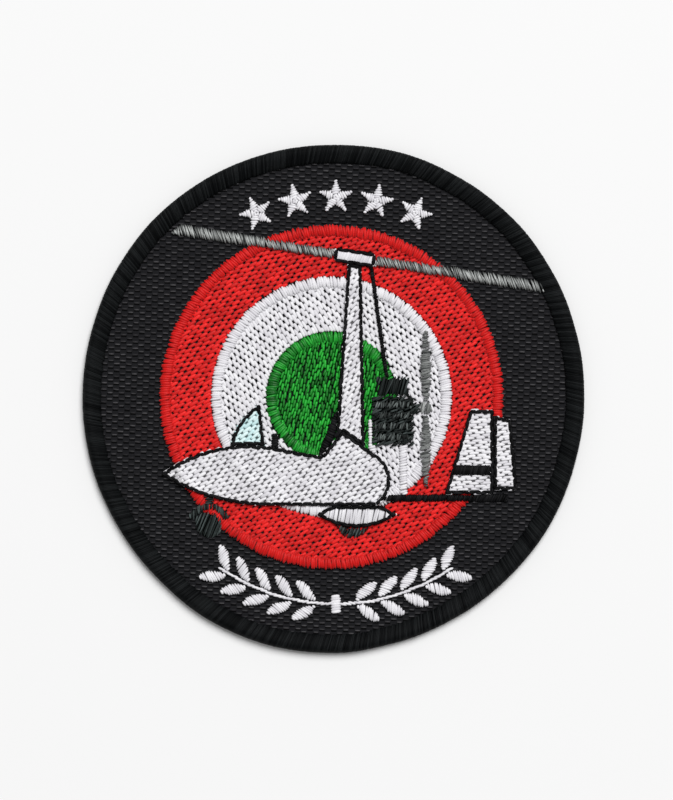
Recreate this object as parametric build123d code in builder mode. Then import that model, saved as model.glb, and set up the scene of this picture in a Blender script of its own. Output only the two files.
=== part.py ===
"""A round embroidered cloth patch, lying face up.

Bonded base layers carry an overcast border, a three-ring roundel, a stitched gyrocopter figure
and stitched ornaments. Units are millimetres, +Z is up, and +Y is the top of the picture.
The origin is the centre of the back face.
"""

import os
from math import cos, radians, sin

from build123d import *

# Base layers, from the back to the face
patch_diameter = 80.0
film_thickness = 0.15
felt_thickness = 0.30
cloth_thickness = 0.45

# Overcast border: its width, its crown above the cloth, and the thread over the cut edge
border_width = 2.9
border_crown = 1.2
border_shoulder = 0.1
edge_wrap = 0.4

# Stitched fields: the filling on the cloth, the satin's crown over it, the figure's cover over that
fill_height = 0.45
satin_crown = 0.30
figure_cover = 0.10
line_height = 0.20
side_taper_angle = 15.0

# The picture is drawn for a patch of 80 mm and follows the patch's diameter
unit = patch_diameter / 80.0

# Roundel: its centre, the outer radius of each ring and the width of its satin edges
roundel_x = -0.68 * unit
roundel_y = 0.55 * unit
red_radius = 27.2 * unit
white_radius = 19.05 * unit
green_radius = 10.4 * unit
satin_width = 1.35

# Rotor and mast of the figure
hub_x = 3.0 * unit
hub_y = 22.6 * unit
rotor_tilt_angle = 9.0
blade_chord = 1.8 * unit
head_length = 6.6 * unit
head_depth = 2.3 * unit
mast_foot_x = 2.2 * unit
mast_foot_y = -9.5 * unit
mast_foot_width = 4.8 * unit
mast_top_width = 2.1 * unit
rod_offset = 2.4 * unit

# Pod of the figure, from its nose to its rounded back
nose_x = -27.6 * unit
nose_y = -11.6 * unit
belly_y = -16.6 * unit
belly_start_x = -11.0 * unit
back_x = 8.6 * unit
back_start_x = 6.4 * unit
deck_y = -8.6 * unit
seat_top_x = 1.0 * unit
seat_top_y = -4.8 * unit
sill_x = -2.2 * unit
sill_y = -8.8 * unit
screen_foot_x = -11.0 * unit
screen_foot_y = -7.2 * unit
nose_rise = 1.7 * unit
belly_bulge = 1.0 * unit
screen_length = 5.8 * unit
screen_height = 6.6 * unit
seat_length = 7.4 * unit
seat_width = 1.5 * unit
seat_lean_angle = 68.0
panel_width = 1.1 * unit
panel_height = 2.0 * unit
panel_x = screen_foot_x + 1.4 * unit

# Engine and propeller of the figure
engine_x = 9.0 * unit
engine_y = -3.2 * unit
engine_width = 6.6 * unit
engine_depth = 7.6 * unit
cylinder_width = 5.2 * unit
cylinder_rise = 3.2 * unit
fin_count = 4
fin_length = 5.4 * unit
fin_thickness = 0.9 * unit
fin_pitch = 1.7 * unit
post_width = 1.2 * unit
propeller_x = 14.2 * unit
propeller_y = -1.2 * unit
propeller_radius = 12.6 * unit
propeller_chord = 1.6 * unit
spinner_radius = 1.1 * unit
shaft_depth = 1.5 * unit

# Keel tube and tail of the figure
keel_y = -15.4 * unit
keel_depth = 1.3 * unit
keel_end_x = 27.0 * unit
fin_root_x = 17.0 * unit
fin_tip_x = 21.2 * unit
fin_tip_y = -1.5 * unit
hinge_x = 24.9 * unit
rudder_chord = 3.8 * unit
rudder_drop = 1.6 * unit
rudder_taper = 1.0 * unit
tailplane_y = -11.0 * unit
tailplane_depth = 1.5 * unit

# Wheels of the figure
spat_nose_x = -3.0 * unit
spat_tail_x = 9.6 * unit
spat_y = -18.0 * unit
spat_depth = 4.0 * unit
main_wheel_x = 2.6 * unit
main_wheel_y = -19.2 * unit
main_wheel_radius = 2.6 * unit
nose_wheel_x = -20.0 * unit
nose_wheel_y = -19.6 * unit
nose_wheel_radius = 2.1 * unit
fork_width = 1.3 * unit
guard_gap = 0.35
guard_width = 0.9 * unit
guard_start_angle = 18.0

# Run-stitched lines
line_width = 0.55

# Ornaments in the band between the roundel and the border
star_count = 5
star_radius = 2.8 * unit
star_waist = 1.2 * unit
star_first_angle = 113.0
star_last_angle = 67.0
stem_width = 0.6 * unit
stem_root_angle = 2.6
stem_sweep_angle = 36.0
leaf_length = 4.3 * unit
leaf_width = 1.7 * unit
leaf_splay_angle = 38.0
leaf_pairs = 5
leaf_step_angle = 6.6
leaf_gap = 0.15
tie_width = 1.5 * unit
tie_depth = 2.6 * unit

# Levels and radii that follow from the sizes above
patch_radius = patch_diameter / 2
layer_radius = patch_radius - edge_wrap
border_radius = patch_radius - border_width
film_top = film_thickness
felt_top = film_top + felt_thickness
cloth_top = felt_top + cloth_thickness
satin_height = fill_height + satin_crown
figure_height = satin_height + figure_cover
figure_top = cloth_top + figure_height
band_radius = (red_radius + border_radius) / 2
guard_radius = nose_wheel_radius + guard_gap + guard_width / 2

cloth_plane = Plane.XY.offset(cloth_top)
figure_plane = Plane.XY.offset(figure_top)
roundel_plane = Plane(origin=(roundel_x, roundel_y, cloth_top))
roundel_axis = Axis((roundel_x, roundel_y, 0), (0, 0, 1))

pieces = {}
roundel = []
outlines = {}


def finish(name, builder):
    """Labels a finished piece and keeps it for the hand-over files."""
    builder.part.label = name
    pieces[name] = builder.part


def finish_field(name, builder, shape):
    """Finishes a field of the figure and keeps its outline, so that later fields stay clear of it."""
    finish(name, builder)
    outlines[name] = shape.sketch_local


def keep_clear():
    """Takes the outlines of the earlier fields out of the one being drawn."""
    add(list(outlines.values()), mode=Mode.SUBTRACT)


def lay_down(taper=0.0):
    """Raises the drawn field off the cloth, with sides that may lean in, and lays it over the roundel."""
    extrude(amount=figure_height, taper=taper)
    add(roundel, mode=Mode.SUBTRACT)


def at(x, y, angle):
    """A place on the face, turned by an angle in degrees."""
    return Locations(Location((x, y, 0), (0, 0, angle)))


def turned(angle, x, y):
    """A plane on the cloth at a point of the face, with its X direction turned by an angle in degrees."""
    direction = (cos(radians(angle)), sin(radians(angle)), 0)
    return Plane(origin=(x, y, cloth_top), x_dir=direction, z_dir=(0, 0, 1))


# Base layers: film, felt and ground cloth are discs of one size, bonded face to face
for name, bottom, thickness in (
    ("heat_seal_film", 0.0, film_thickness),
    ("backing_felt", film_top, felt_thickness),
    ("ground_cloth", felt_top, cloth_thickness),
):
    with BuildPart() as layer:
        with BuildSketch(Plane.XY.offset(bottom)):
            Circle(layer_radius)
        extrude(amount=thickness)
    finish(name, layer)

# Border: a crowned bead on the cloth whose thread also covers the cut edge down to the back
with BuildPart() as border:
    with BuildSketch(Plane.XZ):
        with BuildLine():
            crown = ThreePointArc(
                (border_radius, cloth_top),
                (patch_radius - border_width / 2, cloth_top + border_crown),
                (patch_radius, cloth_top + border_shoulder),
            )
            Polyline(
                crown @ 1,
                (patch_radius, 0),
                (layer_radius, 0),
                (layer_radius, cloth_top),
                crown @ 0,
            )
        make_face()
    revolve(axis=Axis.Z)
finish("border", border)

# Roundel: each ring is a flat filling between the next ring and its own crowned satin edge
for name, outer, inner in (
    ("red", red_radius, white_radius),
    ("white", white_radius, green_radius),
    ("green", green_radius, 0.0),
):
    with BuildPart() as filling:
        with BuildSketch(roundel_plane):
            Circle(outer - satin_width)
            if inner:
                Circle(inner, mode=Mode.SUBTRACT)
        extrude(amount=fill_height)
    finish(f"{name}_filling", filling)
    roundel.append(filling.part)

    with BuildPart() as edge:
        with BuildSketch(Plane(origin=(roundel_x, roundel_y, cloth_top), x_dir=(1, 0, 0), z_dir=(0, -1, 0))):
            with BuildLine():
                crown = ThreePointArc(
                    (outer - satin_width, fill_height),
                    (outer - satin_width / 2, satin_height),
                    (outer, fill_height),
                )
                Polyline(crown @ 1, (outer, 0), (outer - satin_width, 0), crown @ 0)
            make_face()
        revolve(axis=roundel_axis)
    finish(f"{name}_satin_edge", edge)
    roundel.append(edge.part)

# Pod: a rounded nose and belly, a rounded back, a seat fairing and an open cockpit
with BuildPart() as pod:
    with BuildSketch(cloth_plane) as pod_shape:
        with BuildLine():
            belly = ThreePointArc(
                (nose_x, nose_y),
                ((nose_x + belly_start_x) / 2 - belly_bulge, (nose_y + belly_y) / 2 - belly_bulge),
                (belly_start_x, belly_y),
            )
            keel = Line(belly @ 1, (back_start_x, belly_y))
            back = ThreePointArc(keel @ 1, (back_x, (belly_y + deck_y) / 2), (back_start_x, deck_y))
            cockpit = Polyline(
                back @ 1,
                (seat_top_x, seat_top_y),
                (sill_x, sill_y),
                (screen_foot_x, screen_foot_y),
            )
            ThreePointArc(
                cockpit @ 1,
                ((nose_x + screen_foot_x) / 2, (nose_y + screen_foot_y) / 2 + nose_rise),
                (nose_x, nose_y),
            )
        make_face()
    lay_down()
finish_field("pod", pod, pod_shape)

# Windscreen: a curved blade that stands on the nose in front of the cockpit
with BuildPart() as windscreen:
    with BuildSketch(cloth_plane) as windscreen_shape:
        with BuildLine():
            front = ThreePointArc(
                (screen_foot_x - screen_length, screen_foot_y - nose_rise),
                (screen_foot_x - screen_length * 0.72, screen_foot_y + screen_height * 0.55),
                (screen_foot_x - screen_length / 6, screen_foot_y + screen_height),
            )
            Polyline(front @ 1, (screen_foot_x, screen_foot_y - nose_rise), front @ 0)
        make_face()
        keep_clear()
    lay_down()
finish_field("windscreen", windscreen, windscreen_shape)

# Rotor head: a short bar across the top of the mast, in line with the rotor
with BuildPart() as rotor_head:
    with BuildSketch(cloth_plane) as rotor_head_shape:
        with at(hub_x, hub_y, -rotor_tilt_angle):
            RectangleRounded(head_length, head_depth, head_depth / 4)
    lay_down()
finish_field("rotor_head", rotor_head, rotor_head_shape)

# Mast: a tapered strut from the pod's deck to the rotor hub
with BuildPart() as mast:
    with BuildSketch(cloth_plane) as mast_shape:
        with BuildLine():
            Polyline(
                (mast_foot_x - mast_foot_width / 2, mast_foot_y),
                (mast_foot_x + mast_foot_width / 2, mast_foot_y),
                (hub_x + mast_top_width / 2, hub_y),
                (hub_x - mast_top_width / 2, hub_y),
                close=True,
            )
        make_face()
        keep_clear()
    lay_down()
finish_field("mast", mast, mast_shape)

# Rotor blades: slender bars from the head out to the foot of the border
for name, angle in (("rotor_blade_front", 180 - rotor_tilt_angle), ("rotor_blade_rear", -rotor_tilt_angle)):
    with BuildPart() as blade:
        with BuildSketch(cloth_plane) as blade_shape:
            with at(hub_x, hub_y, angle):
                Rectangle(patch_diameter, blade_chord, align=(Align.MIN, Align.CENTER))
            Circle(border_radius, mode=Mode.INTERSECT)
            keep_clear()
        lay_down(side_taper_angle)
    finish_field(name, blade, blade_shape)

# Control rod: a thin strut beside the mast, from the rotor head down to the engine
with BuildPart() as control_rod:
    with BuildSketch(cloth_plane) as control_rod_shape:
        with BuildLine():
            Line((hub_x + rod_offset, hub_y), (engine_x, engine_y))
        trace(line_width=line_width)
        keep_clear()
        with Locations((engine_x, engine_y)):
            Rectangle(engine_width, engine_depth, mode=Mode.SUBTRACT)
        with Locations((engine_x, engine_y + engine_depth / 2)):
            Rectangle(cylinder_width, cylinder_rise, align=(Align.CENTER, Align.MIN), mode=Mode.SUBTRACT)
    lay_down()
finish_field("control_rod", control_rod, control_rod_shape)

# Seat and instrument panel: small dark bars that stand on the pod's sill
for name, x, y, lean_angle, length, width in (
    ("seat", sill_x, sill_y, seat_lean_angle, seat_length, seat_width),
    ("instrument_panel", panel_x, screen_foot_y - panel_height, 90.0, 2 * panel_height, panel_width),
):
    with BuildPart() as bar:
        with BuildSketch(cloth_plane) as bar_shape:
            with at(x, y, lean_angle):
                SlotOverall(length, width, align=(Align.MIN, Align.CENTER))
            keep_clear()
        lay_down()
    finish_field(name, bar, bar_shape)

# Propeller: two lens-shaped blades that meet at a round spinner
with BuildPart() as spinner:
    with BuildSketch(cloth_plane) as spinner_shape:
        with Locations((propeller_x, propeller_y)):
            Circle(spinner_radius)
    lay_down(side_taper_angle)
finish_field("spinner", spinner, spinner_shape)

with BuildPart() as propeller:
    with BuildSketch(cloth_plane) as propeller_shape:
        for side in (1, -1):
            tip = (propeller_x, propeller_y + side * propeller_radius)
            middle = propeller_y + side * propeller_radius / 2
            with BuildLine():
                ThreePointArc((propeller_x, propeller_y), (propeller_x + propeller_chord / 2, middle), tip)
                ThreePointArc(tip, (propeller_x - propeller_chord / 2, middle), (propeller_x, propeller_y))
            make_face()
        keep_clear()
    lay_down()
finish_field("propeller", propeller, propeller_shape)

# Engine: a block with the propeller's shaft, a cylinder head above it and posts below it
with BuildPart() as engine_block:
    with BuildSketch(cloth_plane) as engine_block_shape:
        with Locations((engine_x, engine_y)):
            Rectangle(engine_width, engine_depth)
        with Locations((engine_x, propeller_y)):
            Rectangle(propeller_x - engine_x, shaft_depth, align=(Align.MIN, Align.CENTER))
        keep_clear()
    lay_down()
finish_field("engine_block", engine_block, engine_block_shape)

with BuildPart() as cylinder_head:
    with BuildSketch(cloth_plane) as cylinder_head_shape:
        with Locations((engine_x, engine_y + engine_depth / 2)):
            Rectangle(cylinder_width, cylinder_rise, align=(Align.CENTER, Align.MIN))
        keep_clear()
    lay_down(side_taper_angle)
finish_field("cylinder_head", cylinder_head, cylinder_head_shape)

with BuildPart() as keel_tube:
    with BuildSketch(cloth_plane) as keel_tube_shape:
        with Locations((keel_end_x, keel_y)):
            Rectangle(keel_end_x - back_start_x, keel_depth, align=(Align.MAX, Align.CENTER))
        keep_clear()
    lay_down(side_taper_angle)
finish_field("keel_tube", keel_tube, keel_tube_shape)

with BuildPart() as engine_posts:
    with BuildSketch(cloth_plane) as engine_posts_shape:
        for x, foot in ((back_start_x - post_width / 2, deck_y), (engine_x + engine_width / 4, keel_y)):
            with Locations((x, foot)):
                Rectangle(post_width, engine_y - foot, align=(Align.CENTER, Align.MIN))
        keep_clear()
    lay_down()
finish_field("engine_posts", engine_posts, engine_posts_shape)

# Tail: a swept fin on the keel tube and a rudder behind its hinge line
for name, outline in (
    (
        "tail_fin",
        ((fin_root_x, keel_y), (hinge_x, keel_y), (hinge_x, fin_tip_y), (fin_tip_x, fin_tip_y)),
    ),
    (
        "rudder",
        (
            (hinge_x, keel_y + keel_depth),
            (hinge_x + rudder_chord, keel_y + keel_depth),
            (hinge_x + rudder_chord - rudder_taper, fin_tip_y - rudder_drop),
            (hinge_x, fin_tip_y - rudder_drop / 2),
        ),
    ),
):
    with BuildPart() as tail_field:
        with BuildSketch(cloth_plane) as tail_shape:
            with BuildLine():
                Polyline(*outline, close=True)
            make_face()
            keep_clear()
        lay_down()
    finish_field(name, tail_field, tail_shape)

# Undercarriage: a spat over the main wheel, and a guard and fork over the nose wheel
with BuildPart() as wheel_spat:
    with BuildSketch(cloth_plane) as wheel_spat_shape:
        with BuildLine():
            nose = (spat_nose_x, spat_y)
            tail = (spat_tail_x, spat_y)
            ThreePointArc(nose, (main_wheel_x, spat_y - spat_depth / 2), tail)
            ThreePointArc(tail, (main_wheel_x, spat_y + spat_depth / 2), nose)
        make_face()
        keep_clear()
    lay_down()
finish_field("wheel_spat", wheel_spat, wheel_spat_shape)

with BuildPart() as nose_guard:
    with BuildSketch(cloth_plane) as nose_guard_shape:
        with BuildLine():
            sweep_angle = 180 - 2 * guard_start_angle
            CenterArc((nose_wheel_x, nose_wheel_y), guard_radius, guard_start_angle, sweep_angle)
        trace(line_width=guard_width)
        keep_clear()
    lay_down()
finish_field("nose_guard", nose_guard, nose_guard_shape)

with BuildPart() as nose_fork:
    with BuildSketch(cloth_plane) as nose_fork_shape:
        with Locations((nose_wheel_x, nose_wheel_y + guard_radius)):
            Rectangle(fork_width, belly_y - nose_wheel_y, align=(Align.CENTER, Align.MIN))
        keep_clear()
    lay_down()
finish_field("nose_fork", nose_fork, nose_fork_shape)

for name, x, y, radius in (
    ("main_wheel", main_wheel_x, main_wheel_y, main_wheel_radius),
    ("nose_wheel", nose_wheel_x, nose_wheel_y, nose_wheel_radius),
):
    with BuildPart() as wheel:
        with BuildSketch(cloth_plane) as wheel_shape:
            with Locations((x, y)):
                Circle(radius)
            keep_clear()
        lay_down(side_taper_angle)
    finish_field(name, wheel, wheel_shape)

# Stars: five-pointed, upright to the rim, evenly spaced over the roundel
for number in range(star_count):
    angle = star_first_angle + (star_last_angle - star_first_angle) * number / (star_count - 1)
    x, y = band_radius * cos(radians(angle)), band_radius * sin(radians(angle))
    with BuildPart() as star:
        with BuildSketch(turned(angle, x, y)):
            with BuildLine():
                Polyline(
                    *[
                        (r * cos(radians(a)), r * sin(radians(a)))
                        for k in range(5)
                        for r, a in ((star_radius, 72 * k), (star_waist, 72 * k + 36))
                    ],
                    close=True,
                )
            make_face()
        extrude(amount=satin_height, taper=side_taper_angle)
    finish(f"star_{number + 1}", star)

# Laurel: two mirrored sprays of leaves on curved stems, tied together below the roundel
with BuildPart() as laurel_tie:
    with BuildSketch(turned(0, 0, -band_radius)):
        Rectangle(tie_width, tie_depth)
    extrude(amount=satin_height, taper=side_taper_angle)
finish("laurel_tie", laurel_tie)

for name, side in (("left", -1), ("right", 1)):
    with BuildPart() as stem:
        with BuildSketch(cloth_plane):
            with BuildLine():
                CenterArc((0, 0), band_radius, -90, side * stem_sweep_angle)
            trace(line_width=stem_width)
            with Locations((0, -band_radius)):
                Rectangle(tie_width, tie_depth, mode=Mode.SUBTRACT)
        extrude(amount=fill_height)
    finish(f"laurel_stem_{name}", stem)

    with BuildPart() as leaves:
        for pair in range(leaf_pairs):
            angle = -90 + side * (stem_root_angle + leaf_step_angle * (pair + 0.5))
            for splay in (leaf_splay_angle, -leaf_splay_angle):
                foot = stem_width / 2 + leaf_gap
                radius = band_radius + (foot if side * splay < 0 else -foot)
                x, y = radius * cos(radians(angle)), radius * sin(radians(angle))
                with BuildSketch(turned(angle + side * 90 + splay, x, y)):
                    with BuildLine():
                        ThreePointArc((0, 0), (leaf_length / 2, leaf_width / 2), (leaf_length, 0))
                        ThreePointArc((leaf_length, 0), (leaf_length / 2, -leaf_width / 2), (0, 0))
                    make_face()
        extrude(amount=satin_height)
    finish(f"laurel_leaves_{name}", leaves)

# Cooling fins and tailplane: bars stitched on top of the engine and the tail fin
with BuildPart() as cooling_fins:
    with BuildSketch(figure_plane):
        with Locations((engine_x, engine_y)):
            with GridLocations(0, fin_pitch, 1, fin_count):
                Rectangle(fin_length, fin_thickness)
    extrude(amount=line_height)
finish("cooling_fins", cooling_fins)

with BuildPart() as tailplane:
    with BuildSketch(figure_plane):
        add(outlines["tail_fin"])
        offset(amount=-line_width, mode=Mode.REPLACE)
        with Locations((hinge_x, tailplane_y)):
            Rectangle(
                hinge_x - fin_root_x,
                tailplane_depth,
                align=(Align.MAX, Align.CENTER),
                mode=Mode.INTERSECT,
            )
    extrude(amount=line_height)
finish("tailplane", tailplane)

# Run-stitched lines: a strip just inside the edge of each pale field of the figure
for name in ("pod", "windscreen", "rotor_head", "mast", "tail_fin", "rudder", "wheel_spat"):
    with BuildPart() as line:
        with BuildSketch(figure_plane):
            add(outlines[name])
            offset(amount=-line_width, mode=Mode.SUBTRACT)
        extrude(amount=line_height)
    finish(f"{name}_line", line)

os.makedirs("parts", exist_ok=True)
for name, piece in pieces.items():
    export_step(piece, f"parts/{name}.step")
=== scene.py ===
"""Looks of a round embroidered patch that lies face up on a pale floor.

Every stitched solid of the frame is replaced by the threads that it stands for. One stitch is
modelled once and copied along the rows of each field. The woven ground, the felt and the film
behind it are separate pieces. Sizes are in millimetres until a mesh is made.
"""

import logging
import math
from dataclasses import dataclass, field, replace
from enum import Enum
from typing import Protocol

import bpy
import numpy as np
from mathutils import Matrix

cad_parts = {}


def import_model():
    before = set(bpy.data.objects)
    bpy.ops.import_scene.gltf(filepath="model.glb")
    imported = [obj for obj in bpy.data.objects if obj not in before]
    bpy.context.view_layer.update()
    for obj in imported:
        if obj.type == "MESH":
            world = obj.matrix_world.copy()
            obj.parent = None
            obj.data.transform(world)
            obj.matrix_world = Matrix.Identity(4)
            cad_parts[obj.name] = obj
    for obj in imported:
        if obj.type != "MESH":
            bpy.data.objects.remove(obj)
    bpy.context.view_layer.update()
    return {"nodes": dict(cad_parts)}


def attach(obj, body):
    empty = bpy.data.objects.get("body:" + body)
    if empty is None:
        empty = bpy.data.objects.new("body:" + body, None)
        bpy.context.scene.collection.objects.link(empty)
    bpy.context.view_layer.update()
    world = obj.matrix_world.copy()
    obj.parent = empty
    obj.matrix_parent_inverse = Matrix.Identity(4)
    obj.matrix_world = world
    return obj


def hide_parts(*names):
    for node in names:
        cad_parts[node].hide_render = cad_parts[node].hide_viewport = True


MM = 0.001
TINY = 1e-9
BODY = "root"
LOG = logging.getLogger("patch")

Array = np.ndarray
Draw = np.random.Generator
Material = bpy.types.Material
Mesh = bpy.types.Mesh
Node = bpy.types.Node
Piece = bpy.types.Object
Socket = bpy.types.NodeSocket
Range = tuple[float, float]
Spans = list[Range]
Ends = tuple[float, float, float, float]
Colour = tuple[float, float, float]


class Stitch(Enum):
    """How the rows of a field are sewn."""

    FILLING = "rows of short staggered stitches"
    UNDERLAY = "the same, hidden under a padded field"
    SATIN = "one stitch from edge to edge in each row"


class Level(Enum):
    """What a field lies on."""

    CLOTH = "the bare cloth"
    FACE = "the cloth or the roundel on it"
    FIGURE = "another field of the figure"


def common(first: Spans, second: Spans) -> Spans:
    """Stretches that lie in both of two lists of stretches.

    Args:
        first: Start and end of each stretch in the first list.
        second: Start and end of each stretch in the second list.

    Returns:
        Start and end of each shared stretch.
    """
    pairs = [(max(a[0], b[0]), min(a[1], b[1])) for a in first for b in second]
    return [(low, high) for low, high in pairs if low < high]


def smooth(share: Array) -> Array:
    """Eases shares between 0 and 1 at both ends."""
    return share * share * (3 - 2 * share)


def arched(stations: Array, bend: float, power: float) -> Array:
    """Rise of a stitch along its length: 0 at its ends and 1 in its middle."""
    return np.clip(1 - np.abs(2 * stations - 1) ** bend, 0, 1) ** power


def travelled(points: Array) -> Array:
    """Distance of each point of a line from its first point, along the line."""
    return np.concatenate([[0], np.cumsum(np.linalg.norm(np.diff(points, axis=0), axis=1))])


def closed(rim: Array) -> Array:
    """The points of a rim with the first one again at its end."""
    return np.vstack([rim, rim[:1]])


def along_rows(x: Array, y: Array, angle: float) -> tuple[Array, Array]:
    """Positions along and across rows that run at an angle."""
    return x * math.cos(angle) + y * math.sin(angle), y * math.cos(angle) - x * math.sin(angle)


def from_rows(along: Array, row: Array, angle: float) -> tuple[Array, Array]:
    """Positions on the patch from positions along and across rows."""
    return along * math.cos(angle) - row * math.sin(angle), along * math.sin(angle) + row * math.cos(angle)


def bearings(count: int, jitter: float, draw: Draw) -> Array:
    """Bearings of stitches around a ring, at steps that differ a little."""
    return (np.arange(count) + draw.uniform(-jitter, jitter, count))[:, None] * 2 * math.pi / count


@dataclass(frozen=True)
class Heights:
    """Levels of the layers above the back face, as in the frame."""

    film_top: float = 0.15
    felt_top: float = 0.45
    cloth_top: float = 0.90
    fill_top: float = 1.35
    satin_top: float = 1.65
    figure_rise: float = 0.38


@dataclass(frozen=True)
class Roundel:
    """Centre and radii of the three rings, as in the frame, and the swell of their edges."""

    x: float = -0.68
    y: float = 0.55
    red: float = 27.2
    white: float = 19.05
    green: float = 10.4
    satin: float = 1.35
    slope: float = 1.0
    ridge_inset: float = 0.75
    ridge_width: float = 1.0

    def distance(self, x: Array, y: Array) -> Array:
        """Distances from the roundel's centre."""
        return np.hypot(x - self.x, y - self.y)

    def ridges(self, distance: Array, inset: float, width: float) -> Array:
        """Soft ridges along the satin edges of the rings.

        Args:
            distance: Distances from the roundel's centre.
            inset: How far a ridge's crown lies inside its ring's outer edge.
            width: How far a ridge's foot lies from its crown.

        Returns:
            The height of the ridges, where a crown is 1.
        """
        edges = (self.red, self.white, self.green)
        return sum(np.exp(-(((distance - edge + inset) / width) ** 2)) for edge in edges)


@dataclass(frozen=True)
class Weave:
    """Lay of the ground cloth: length of a repeat, distance of the rows and their turn in degrees."""

    repeat: float = 1.88
    row: float = 0.51
    turn: float = -2.0


@dataclass(frozen=True)
class Outline:
    """The hand-cut rim: a circle with a few shallow flats, given as offsets every 15 degrees."""

    radius: float = 40.0
    offsets: tuple[float, ...] = (
        -0.71, -0.48, -0.18, 0.14, 0.30, 0.52, 0.42, 0.55, 0.62, 0.62, 0.39, 0.14,
        0.04, -0.06, -0.22, -0.20, 0.10, 0.12, -0.06, -0.56, -0.79, -0.90, -0.85, -0.90,
    )

    def offset(self, angle: Array) -> Array:
        """Distance of the rim outside the plain circle.

        Args:
            angle: Directions from the centre, in radians.

        Returns:
            The offsets, smoothed between the given directions.
        """
        table = np.array(self.offsets)
        place = np.mod(angle, 2 * math.pi) / (2 * math.pi / len(table))
        low = np.floor(place).astype(int) % len(table)
        share = smooth(place - np.floor(place))
        return table[low] * (1 - share) + table[(low + 1) % len(table)] * share


HEIGHTS = Heights()
ROUNDEL = Roundel()
WEAVE = Weave()
OUTLINE = Outline()


def face_level(x: Array, y: Array) -> Array:
    """Height of the face under the figure: the cloth, or the filled rings on it.

    Args:
        x: Positions to the right.
        y: Positions towards the top of the picture.

    Returns:
        The heights, with a soft step at the rim of the roundel and a ridge over each satin edge.
    """
    distance = ROUNDEL.distance(x, y)
    share = smooth(np.clip((ROUNDEL.red + ROUNDEL.slope / 2 - distance) / ROUNDEL.slope, 0.0, 1.0))
    ridges = ROUNDEL.ridges(distance, ROUNDEL.ridge_inset, ROUNDEL.ridge_width)
    rise = (HEIGHTS.fill_top - HEIGHTS.cloth_top) * share + (HEIGHTS.satin_top - HEIGHTS.fill_top) * ridges
    return HEIGHTS.cloth_top + rise


def deselect_all() -> None:
    """Leaves object mode with nothing selected."""
    if bpy.context.object and bpy.context.object.mode != "OBJECT":
        bpy.ops.object.mode_set(mode="OBJECT")
    bpy.ops.object.select_all(action="DESELECT")


def linear(value: float) -> float:
    """One channel of a display colour, from 0 to 255, as linear light."""
    share = value / 255
    return share / 12.92 if share <= 0.04045 else ((share + 0.055) / 1.055) ** 2.4


def srgb(red: float, green: float, blue: float) -> tuple[float, float, float, float]:
    """A display colour from 0 to 255 as the linear colour that a shader takes."""
    return (linear(red), linear(green), linear(blue), 1.0)


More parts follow.
